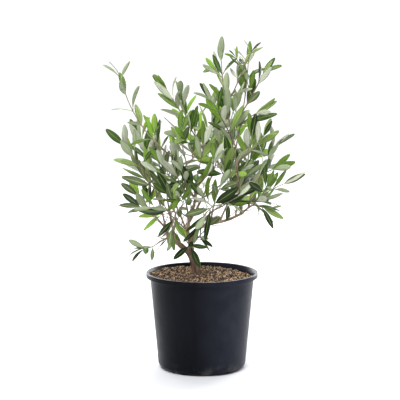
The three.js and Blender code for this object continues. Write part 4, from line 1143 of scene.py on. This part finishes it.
class OLIVE_OT_bark(Operator):
    """Grows trunk and boughs into one skin with the bark's relief"""
    bl_idname = "olive.bark"
    bl_label = "Trunk and boughs"

    def execute(self, context):
        p = context.scene.olive_bark
        limbs = growth().limbs
        points, faces, _ = joined([self.wood(number, limb) for number, limb in enumerate(limbs.values())])
        bark = add_piece("bark_skin", points, faces, [])
        with_modifier(bark, "REMESH", mode="VOXEL", voxel_size=p.grain, use_smooth_shade=True)
        self.carve(bark, limbs, p.relief / MM)
        bough = tuple(p.bough)
        for finish in (old_bark("bark_trunk", tuple(p.trunk), tuple(p.fissure), srgb(176, 158, 138)),
                       old_bark("bark_bough", bough, shade(bough, 0.36), srgb(178, 160, 134)),
                       stem_skin("bark_young", srgb(128, 112, 92), srgb(72, 60, 48)),
                       stem_skin("bark_red", srgb(124, 102, 88), srgb(60, 46, 38))):
            bark.data.materials.append(finish)
        dress(bark, list(limbs))
        return {"FINISHED"}

    @staticmethod
    def wood(number, limb):
        """One limb as an uneven tube: knots and a collar on a bough, roots and a sunk foot on the trunk."""
        rings = rings_of(limb.curve, max(3, int(limb.curve.length / 2.5)), limb.first_along)
        sides = 12 if limb.parent else 20
        turn = np.linspace(0, FULL_TURN, sides, endpoint=False)
        if limb.parent:
            knots = np.random.RandomState(KNOTS + number).rand(3)
            radii = []
            for r in rings:
                swell = sum(0.16 * math.exp(-(((r.t - k) * limb.curve.length / 3.0) ** 2)) for k in knots)
                collar = 0.55 * math.exp(-r.t * limb.curve.length / 5.0)
                radii.append(limb.radius(r.t) * (1 + (swell + 0.35 * collar)))
            radii = np.array(radii)[:, None] * (1 + 0.05 * np.sin(2 * turn + number))[None]
        else:
            roots = np.array([math.exp(-r.t / 0.22) for r in rings])[:, None]
            uneven = (1 + 0.07 * np.sin(3 * turn + number))[None]
            uneven = uneven + roots * (0.16 * np.sin(5 * turn + 0.6) + 0.1 * np.sin(2 * turn + 2.0))[None]
            radii = np.array([limb.radius(r.t) for r in rings])[:, None] * uneven
            foot = Thing(**vars(rings[0]))
            foot.centre = rings[0].centre - np.array((0, 0, SUNK_FOOT))
            rings, radii = [foot] + rings, np.concatenate((radii[:1] * 1.04, radii))
        points, faces = tube(rings, radii, sides)
        return points, facing_out(faces, points, rings[0].centre), 0

    @staticmethod
    def carve(bark, limbs, relief):
        """Moves each point by the bark's relief, deeper on thicker wood, and deals out the bark finishes."""
        mesh = bark.data
        co, normals = (read_all(mesh.vertices, key, np.float32).reshape(-1, 3) for key in ("co", "normal"))
        co = co.astype(float) / MM
        samples, thick, kinds = [], [], []
        for limb in limbs.values():
            for t in np.linspace(0, 1, max(4, int(limb.curve.length / 4))):
                r = float(limb.radius(t))
                samples.append(limb.curve.at(t))
                thick.append(r)
                young = RED_BARK if limb.name in RED_LIMBS else BOUGH_BARK if r > BOUGH_WOOD else YOUNG_BARK
                kinds.append(TRUNK_BARK if r > OLD_WOOD else young)
        samples, thick, kinds = np.array(samples), np.array(thick), np.array(kinds)
        nearest = np.concatenate([
            np.argmin(((chunk[:, None] - samples[None]) ** 2).sum(-1) ** 0.5 - thick, axis=1)
            for chunk in np.array_split(co, max(1, len(co) // 4000))])
        depth = relief * np.clip(thick[nearest] / 7.0, 0.12, 1.0)
        move = np.empty(len(co))
        for k, (x, y, z) in enumerate(co):
            ridges = noise.ridged_multi_fractal(Vector((x * 0.33, y * 0.33, z * 0.11)), 1.0, 2.1, 4, 0.8, 2.0)
            fine = noise.noise(Vector((x * 1.1, y * 1.1, z * 0.5)))
            move[k] = 0.55 - 0.6 * ridges + 0.35 * fine
        co += normals * (move * depth)[:, None]
        mesh.vertices.foreach_set("co", (co * MM).astype(np.float32).ravel())
        corner = read_all(mesh.loops, "vertex_index")[read_all(mesh.polygons, "loop_start")]
        mesh.polygons.foreach_set("material_index", kinds[nearest][corner].astype(np.int32))
        mesh.update()


# ---- shoots --------------------------------------------------------------------------------------
# places in the list of shoot finishes
GREEN, TAN, BROWN = range(3)


class OLIVE_OT_shoots(Operator):
    """Grows the leafy shoots and their sprigs on from the boughs"""
    bl_idname = "olive.shoots"
    bl_label = "Shoots"

    def execute(self, context):
        p = context.scene.olive_leaves
        finishes = [green_stem("shoot_green", tuple(p.stem)),
                    stem_skin("shoot_tan", srgb(150, 134, 108), srgb(92, 78, 60)),
                    stem_skin("shoot_brown", srgb(118, 100, 84), srgb(60, 48, 40))]
        parts = self.spurs()
        for spray in growth().sprays:
            draw = seeded(spray.seed + STEMS)
            kind = int(draw() * 2.6)
            for twig in spray.twigs:
                first = twig is spray.twigs[0]
                rings = rings_of(twig.curve, max(4, int(twig.curve.length / 4)),
                                 spray.limb.curve.along(1) if first else None)
                if first:
                    rings[0].centre = rings[0].centre - rings[0].along * 1.6
                joints = [joint_at(twig, i) for i in range(twig.pairs)]
                radii = []
                for r in rings:
                    knot = max(math.exp(-(((r.t - j) * twig.curve.length / 1.6) ** 2)) for j in joints)
                    radii.append(twig.radius(r.t) * (0.92 + 0.28 * knot) * (1 - 0.25 * r.t ** 3))
                points, faces = tube(rings, radii, 7, spin=draw() * 3)
                shown = GREEN if twig.sprig else kind
                old = len(faces) * 2 // 3 if shown == TAN else len(faces)
                parts.append((points, faces[:old], shown))
                if old < len(faces):
                    tip = [tuple(i - len(points) for i in face) for face in faces[old:]]
                    parts.append((np.zeros((0, 3)), tip, GREEN))
        points, faces, finish = joined(parts)
        add_piece("shoots", points, faces, finishes, finish, slot="young_bark",
                  replaces=[spray.name for spray in growth().sprays])
        return {"FINISHED"}

    @staticmethod
    def spurs():
        """Fine bare twigs along the boughs, tan or brown, each ending in a small bud."""
        parts = []
        for number, limb in enumerate(growth().limbs.values()):
            draw = seeded(SPURS + number)
            for _ in range(0 if limb.name == "trunk" else 2 + int(limb.curve.length / 22)):
                t, way, size, kind = 0.2 + 0.75 * draw(), 6.283 * draw(), draw(), draw()
                ring = rings_of(limb.curve, 12)[int(t * 12)]
                out = ring_out(ring, way)
                reach = unit(ring.along * 0.9 + out * 0.6 + np.array((0, 0, 0.25))) * (12 + 20 * size)
                rings = rings_of(Curve(ring.centre + out * 0.5, reach, out * 1.6, (0, 0, 0.6)), 9)
                radii = [0.85 - 0.4 * r.t + 0.3 * math.exp(-((1 - r.t) / 0.06) ** 2) for r in rings]
                points, faces = tube(rings, radii, 6)
                parts.append((points, faces, TAN if kind < 0.6 else BROWN))
        return parts


# ---- leaves --------------------------------------------------------------------------------------
ALONG = np.array((0, 0.03, 0.065, 0.12, 0.2, 0.3, 0.42, 0.54, 0.66, 0.76, 0.84, 0.9, 0.95, 0.98, 1.0))
ACROSS = np.array((-1, -0.55, -0.07, 0.07, 0.55, 1, 0.55, 0.07, -0.07, -0.55))
TOP = np.array((0, 1, 1, 1, 1, 0, -1, -1, -1, -1))
PETIOLE = 0.06
# a leaf is edge-on if its face turns less than this to the front, and takes the painted glow of light shining
# through it from behind above this
EDGE_ON, GLOWING = 0.35, 0.62


def blade_points(leaves, share, thickness):
    """Points of every leaf at once: petiole, lance-shaped blade with its fold, bend, sweep and twist."""
    get = lambda *keys: (np.array([getattr(leaf, key) for leaf in leaves], float)[:, None] for key in keys)
    root, forward, face = get("root", "forward", "face")
    side = np.cross(forward, face)
    length, wide, bend, sweep, twist = get("length", "wide", "bend", "sweep", "twist")
    fold, belly = get("fold", "belly")
    s = ALONG[None]
    blade = np.clip((s - PETIOLE) / (1 - PETIOLE), 0, 1)
    outline = np.sin(math.pi * blade ** belly) ** (0.9 - 0.42 * blade ** 2)
    half = np.maximum(length * share * wide / 2 * outline, 0.5 * (1 - 0.6 * s))
    angle = 2 * bend * s
    safe = np.where(np.abs(bend) < 1e-3, 1e-3, 2 * bend)
    out = length * np.sin(safe * s) / safe
    drop = length * (1 - np.cos(safe * s)) / safe
    line = (root + forward * (out - 0.9 * (s == 0))[..., None] - face * drop[..., None]
            + side * (sweep * length * s * s)[..., None])
    up = face * np.cos(angle)[..., None] + forward * np.sin(angle)[..., None]
    turn = (twist * s)[..., None]
    over, up = side * np.cos(turn) + up * np.sin(turn), up * np.cos(turn) - side * np.sin(turn)
    u = ACROSS[None, None]
    lift = half[..., None] * (fold[..., None] * np.abs(u) - 0.22 * np.abs(u) ** 4)
    thick = thickness * np.where(s < 0.07, 2.0, 1.0)[..., None] * (1 - 0.6 * np.abs(u))
    rib = np.where(np.abs(u) < 0.1, np.where(TOP > 0, -0.12, -0.3), 0.0)
    height = lift + TOP * thick / 2 + rib * (s > 0.05)[..., None] * (s < 0.97)[..., None]
    sideways = over[:, :, None] * (u * half[..., None])[..., None]
    return line[:, :, None] + sideways + up[:, :, None] * height[..., None]


def blade_faces(count):
    """The quads of every leaf, row by row from its root."""
    rows, ring = len(ALONG), len(ACROSS)
    strip = np.array([(i + k, i + k + ring, i + n + ring, i + n)
                      for i in range(0, (rows - 1) * ring, ring) for k, n in round_pairs(ring)])
    start = np.arange(count)[:, None, None] * rows * ring
    return (strip[None] + start).reshape(-1, 4).tolist()


# places in the list of leaf tones: six for the upper side, four for the underside, then the midribs
# the last two upper tones and the last two underside tones carry the painted glow of leaves lit through from
# behind; the first of each pair also serves ordinary leaves
UPPER_LIGHT_AND_GLOW, UPPER_BRIGHT, UNDERSIDE, RIB_UPPER, RIB_UNDER = 4, 5, 6, 10, 11


def leaf_finishes(p):
    """The leaf tones: name, colour, roughness, strength of the dots and gloss."""
    waxy, downy = 0.2, 0.1
    tones = (("upper_deep", srgb(32, 48, 18), 0.4, 0.12, waxy),
             ("upper_dark", srgb(54, 78, 26), 0.42, 0.12, waxy),
             ("upper_mid", tuple(p.upper), 0.45, 0.12, waxy),
             ("upper_soft", srgb(120, 142, 76), 0.5, 0.1, waxy),
             # this tone and the next, and the last two underside tones, carry the painted glow of leaves lit
             # through from behind; this one and under_pale also serve ordinary leaves
             ("upper_fresh", srgb(116, 156, 54), 0.5, 0.1, downy),
             ("upper_bright", tuple(p.fresh), 0.55, 0.08, downy),
             ("under_dark", srgb(98, 112, 74), 0.75, 0.1, downy),
             ("under_grey", srgb(154, 166, 132), 0.78, 0.1, downy),
             ("under_pale", tuple(p.under), 0.8, 0.08, downy),
             ("under_fresh", srgb(160, 198, 84), 0.75, 0.08, downy),
             ("rib_upper", srgb(106, 130, 64), 0.55, 0.06, downy),
             ("rib_under", srgb(164, 174, 130), 0.7, 0.06, downy))
    return [leaf_skin(f"leaf_{name}", colour, roughness, spots, Specular_IOR_Level=gloss)
            for name, colour, roughness, spots, gloss in tones]


def give_looks(spray):
    """Bend, twist, fold and tone of each leaf, drawn by the spray's own numbers."""
    draw = seeded(spray.seed + LOOKS)
    for leaf in spray.leaves:
        a, b, c, d, e, f, g = (draw() for _ in range(7))
        leaf.bend = 0.04 + 0.13 * a if a < 0.85 else 0.22 + 0.16 * b
        leaf.sweep, leaf.twist = 0.12 * (b - 0.5), 1.3 * (c - 0.5)
        if abs(leaf.face[1]) < EDGE_ON:
            leaf.bend, leaf.twist = 0.22 + 0.14 * b, math.copysign(0.5 + 0.6 * a, c - 0.5)
        leaf.fold, leaf.belly = 0.12 + 0.4 * d * d, 0.92 + 0.34 * e
        leaf.wide = leaf.width / (leaf.length * LEAF_WIDTH)
        height = (leaf.root[2] - 170) / 380
        back = (leaf.root[1] + 60) / 160
        # painted glow: leaves towards the back and at middle height, and some at random, take bright
        # yellow-green tones standing in for light shining through them from behind
        glow = 0.32 + 0.3 * back * (1 - 1.4 * abs(height - 0.5)) + 0.5 * (f - 0.5)
        tone = height * (1.5 - height) - 0.05 + 0.66 * (g - 0.5)
        if glow > GLOWING:
            leaf.upper = UPPER_BRIGHT if g > 0.35 else UPPER_LIGHT_AND_GLOW
            leaf.under = UNDERSIDE + (3 if f > 0.3 else 2)
        else:
            leaf.upper = int(min(max(tone * 5, 0), UPPER_LIGHT_AND_GLOW))
            leaf.under = UNDERSIDE + (0 if tone < 0.22 else 1 if tone < 0.5 else 2)


class OLIVE_OT_leaves(Operator):
    """Sets every leaf on its shoot in its own outline"""
    bl_idname = "olive.leaves"
    bl_label = "Leaves"

    def execute(self, context):
        p = context.scene.olive_leaves
        leaves = []
        for spray in growth().sprays:
            give_looks(spray)
            leaves += spray.leaves
        points = blade_points(leaves, p.width, p.thickness / MM)
        rows, ring = len(ALONG), len(ACROSS)
        half, upper_rib, under_rib, petiole_rows = ring // 2, 2, 7, 2
        finish = np.zeros((len(leaves), rows - 1, ring), int)
        finish[:, :, :half] = np.array([leaf.upper for leaf in leaves])[:, None, None]
        finish[:, :, half:] = np.array([leaf.under for leaf in leaves])[:, None, None]
        finish[:, :, upper_rib], finish[:, :, under_rib] = RIB_UPPER, RIB_UNDER
        finish[:, :petiole_rows] = RIB_UPPER
        caps = []
        for first in range(0, len(leaves) * rows * ring, rows * ring):
            end = first + rows * ring
            caps += [tuple(range(first, first + ring)), tuple(range(end - 1, end - ring - 1, -1))]
        kinds = np.concatenate((finish.ravel(), np.full(len(caps), RIB_UPPER)))
        add_piece("leaves", points.reshape(-1, 3), blade_faces(len(leaves)) + caps, leaf_finishes(p), kinds,
                  slot="leaves", replaces=[spray.name for spray in growth().sprays])
        return {"FINISHED"}


# ---- olives --------------------------------------------------------------------------------------
class OLIVE_OT_fruit(Operator):
    """Hangs the olives on their stalks"""
    bl_idname = "olive.fruit"
    bl_label = "Olives"

    def execute(self, context):
        parts = []
        for spray in growth().sprays:
            for n, olive in enumerate(spray.fruit):
                profile = []
                for a in np.linspace(0, math.pi, 19):
                    blunt = 1 - 0.06 * math.cos(a)
                    dimple = 0.5 * math.exp(-((math.pi - a) / 0.25) ** 2)
                    point = 0.7 * math.exp(-(a / 0.22) ** 2)
                    profile.append((olive.across * math.sin(a) * blunt,
                                    -(olive.along * math.cos(a)) - point - dimple))
                profile[0], profile[-1] = (0, profile[0][1]), (0, profile[-1][1])
                points, faces = turned(profile, 28)
                lean = 0.12 * math.sin(spray.seed + 2 * n)
                points = points @ np.array(((1, 0, -lean), (0, 1, 0), (lean, 0, 1))) + olive.centre
                parts.append((points, faces, 0))
                reach = olive.foot - np.array((0, 0, 0.5)) - olive.root
                rings = rings_of(Curve(olive.root, reach, (0, 0, 1.5)), 8)
                radii = [0.75 - 0.15 * r.t + 0.35 * math.exp(-((1 - r.t) / 0.1) ** 2) for r in rings]
                parts.append((*tube(rings, radii, 8), 1))
        points, faces, finish = joined(parts)
        skins = [olive_skin(), green_stem("stalk_green", tuple(context.scene.olive_leaves.stem))]
        add_piece("olives", points, faces, skins, finish, slot="leaves")
        return {"FINISHED"}


# ---- stage ---------------------------------------------------------------------------------------
FLOOR_RADIUS = 3200
# soft lights in metres: name, place, height aimed at over the pot's middle, edges, power
SOFT_LIGHTS = (
    ("back_strip", (0.0, 3.6, 1.25), 0.3, (3.0, 0.7), 34),
    ("top_light", (0.2, 0.9, 2.4), 0.2, (1.6, 1.2), 40),
    ("left_strip", (-1.3, 2.3, 0.6), 0.2, (0.9, 1.6), 34),
    ("right_strip", (1.5, 2.0, 0.6), 0.2, (0.9, 1.6), 50),
    ("front_light", (-0.7, -1.9, 2.4), 0.35, (1.6, 1.6), 90),
)


class OLIVE_OT_stage(Operator):
    """Lays the pale floor, hangs the soft lights and sets the camera"""
    bl_idname = "olive.stage"
    bl_label = "Stage"

    def execute(self, context):
        p, scene = context.scene.olive_stage, context.scene
        floor, paper = Finish("floor_paper", 0.9), tuple(p.floor)
        floor.colour(floor.ramp(floor.noise(3, 2.0), (0.3, shade(paper, 0.99)), (0.7, paper)))
        points, faces = turned([(0, 0), (FLOOR_RADIUS, 0)], 64)
        add_piece("floor", points - np.array((0, 0, 0.05)), faces, [floor.material])
        scene.world = self.surround(p)
        for light in SOFT_LIGHTS:
            self.soft_light(*light)
        scene.view_settings.view_transform = "Standard"
        data = bpy.data.cameras.new("camera")
        data.lens, data.sensor_width = p.lens, 36
        data.clip_start, data.clip_end = 0.1, 50
        camera = bpy.data.objects.new("camera", data)
        scene.collection.objects.link(camera)
        camera.location = (-0.0034, -p.distance, p.camera_height)
        camera.rotation_euler = (math.pi / 2 - p.tilt, 0, 0)
        scene.camera = camera
        return {"FINISHED"}

    @staticmethod
    def surround(p):
        """A white world that lights the plant more from behind, and is plain white to look at."""
        world = bpy.data.worlds.new("soft_surround")
        world.use_nodes = True
        nodes, link = world.node_tree.nodes, world.node_tree.links.new
        background, output = nodes["Background"], nodes["World Output"]
        way, apart, level, seen, path, both = (nodes.new(f"ShaderNode{kind}") for kind in (
            "TexCoord", "VectorMath", "MapRange", "Background", "LightPath", "MixShader"))
        apart.operation = "DOT_PRODUCT"
        apart.inputs[1].default_value = (p.lean, 1, 0)
        set_inputs(level, From_Min=-0.1, From_Max=1, To_Min=p.front, To_Max=p.back)
        set_inputs(background, Color=(1, 1, 1, 1))
        set_inputs(seen, Color=(1, 1, 1, 1), Strength=1.1)
        link(way.outputs["Generated"], apart.inputs[0])
        link(apart.outputs["Value"], level.inputs["Value"])
        link(level.outputs["Result"], background.inputs["Strength"])
        link(path.outputs["Is Camera Ray"], both.inputs[0])
        link(background.outputs[0], both.inputs[1])
        link(seen.outputs[0], both.inputs[2])
        link(both.outputs[0], output.inputs["Surface"])
        return world

    @staticmethod
    def soft_light(name, place, aim, edges, power):
        data = bpy.data.lights.new(name, "AREA")
        data.shape, data.size, data.size_y, data.energy = "RECTANGLE", *edges, power
        light = bpy.data.objects.new(name, data)
        light.location = place
        light.rotation_euler = (Vector((0, 0, aim)) - Vector(place)).to_track_quat("-Z", "Y").to_euler()
        light.visible_camera = False
        bpy.context.scene.collection.objects.link(light)


# ---- add-on --------------------------------------------------------------------------------------
class OLIVE_PT_tree(Panel):
    """Lists the pieces of the tree and what can be set for each"""
    bl_idname = "OLIVE_PT_tree"
    bl_label = "Olive tree"
    bl_space_type = "VIEW_3D"
    bl_region_type = "UI"
    bl_category = "Olive tree"

    def draw(self, context):
        for group, (kind, *operators) in GROUPS.items():
            box = self.layout.box()
            for operator in operators:
                box.operator(operator.bl_idname)
            for name in kind.__annotations__:
                box.prop(getattr(context.scene, group), name)


# the settings, with the operators that use them
GROUPS = {
    "olive_pot": (OLIVE_PG_pot, OLIVE_OT_pot),
    "olive_soil": (OLIVE_PG_soil, OLIVE_OT_soil),
    "olive_bark": (OLIVE_PG_bark, OLIVE_OT_bark),
    "olive_leaves": (OLIVE_PG_leaves, OLIVE_OT_shoots, OLIVE_OT_leaves, OLIVE_OT_fruit),
    "olive_stage": (OLIVE_PG_stage, OLIVE_OT_stage),
}


def register():
    for name, kinds in GROUPS.items():
        for kind in kinds:
            bpy.utils.register_class(kind)
        setattr(bpy.types.Scene, name, PointerProperty(type=kinds[0]))
    bpy.utils.register_class(OLIVE_PT_tree)


def unregister():
    bpy.utils.unregister_class(OLIVE_PT_tree)
    for name, kinds in reversed(GROUPS.items()):
        delattr(bpy.types.Scene, name)
        for kind in reversed(kinds):
            bpy.utils.unregister_class(kind)


def main():
    register()
    bpy.ops.olive.pot()
    bpy.ops.olive.soil()
    bpy.ops.olive.bark()
    bpy.ops.olive.shoots()
    bpy.ops.olive.leaves()
    bpy.ops.olive.fruit()
    bpy.ops.olive.stage()


if __name__ == "__main__":
    main()
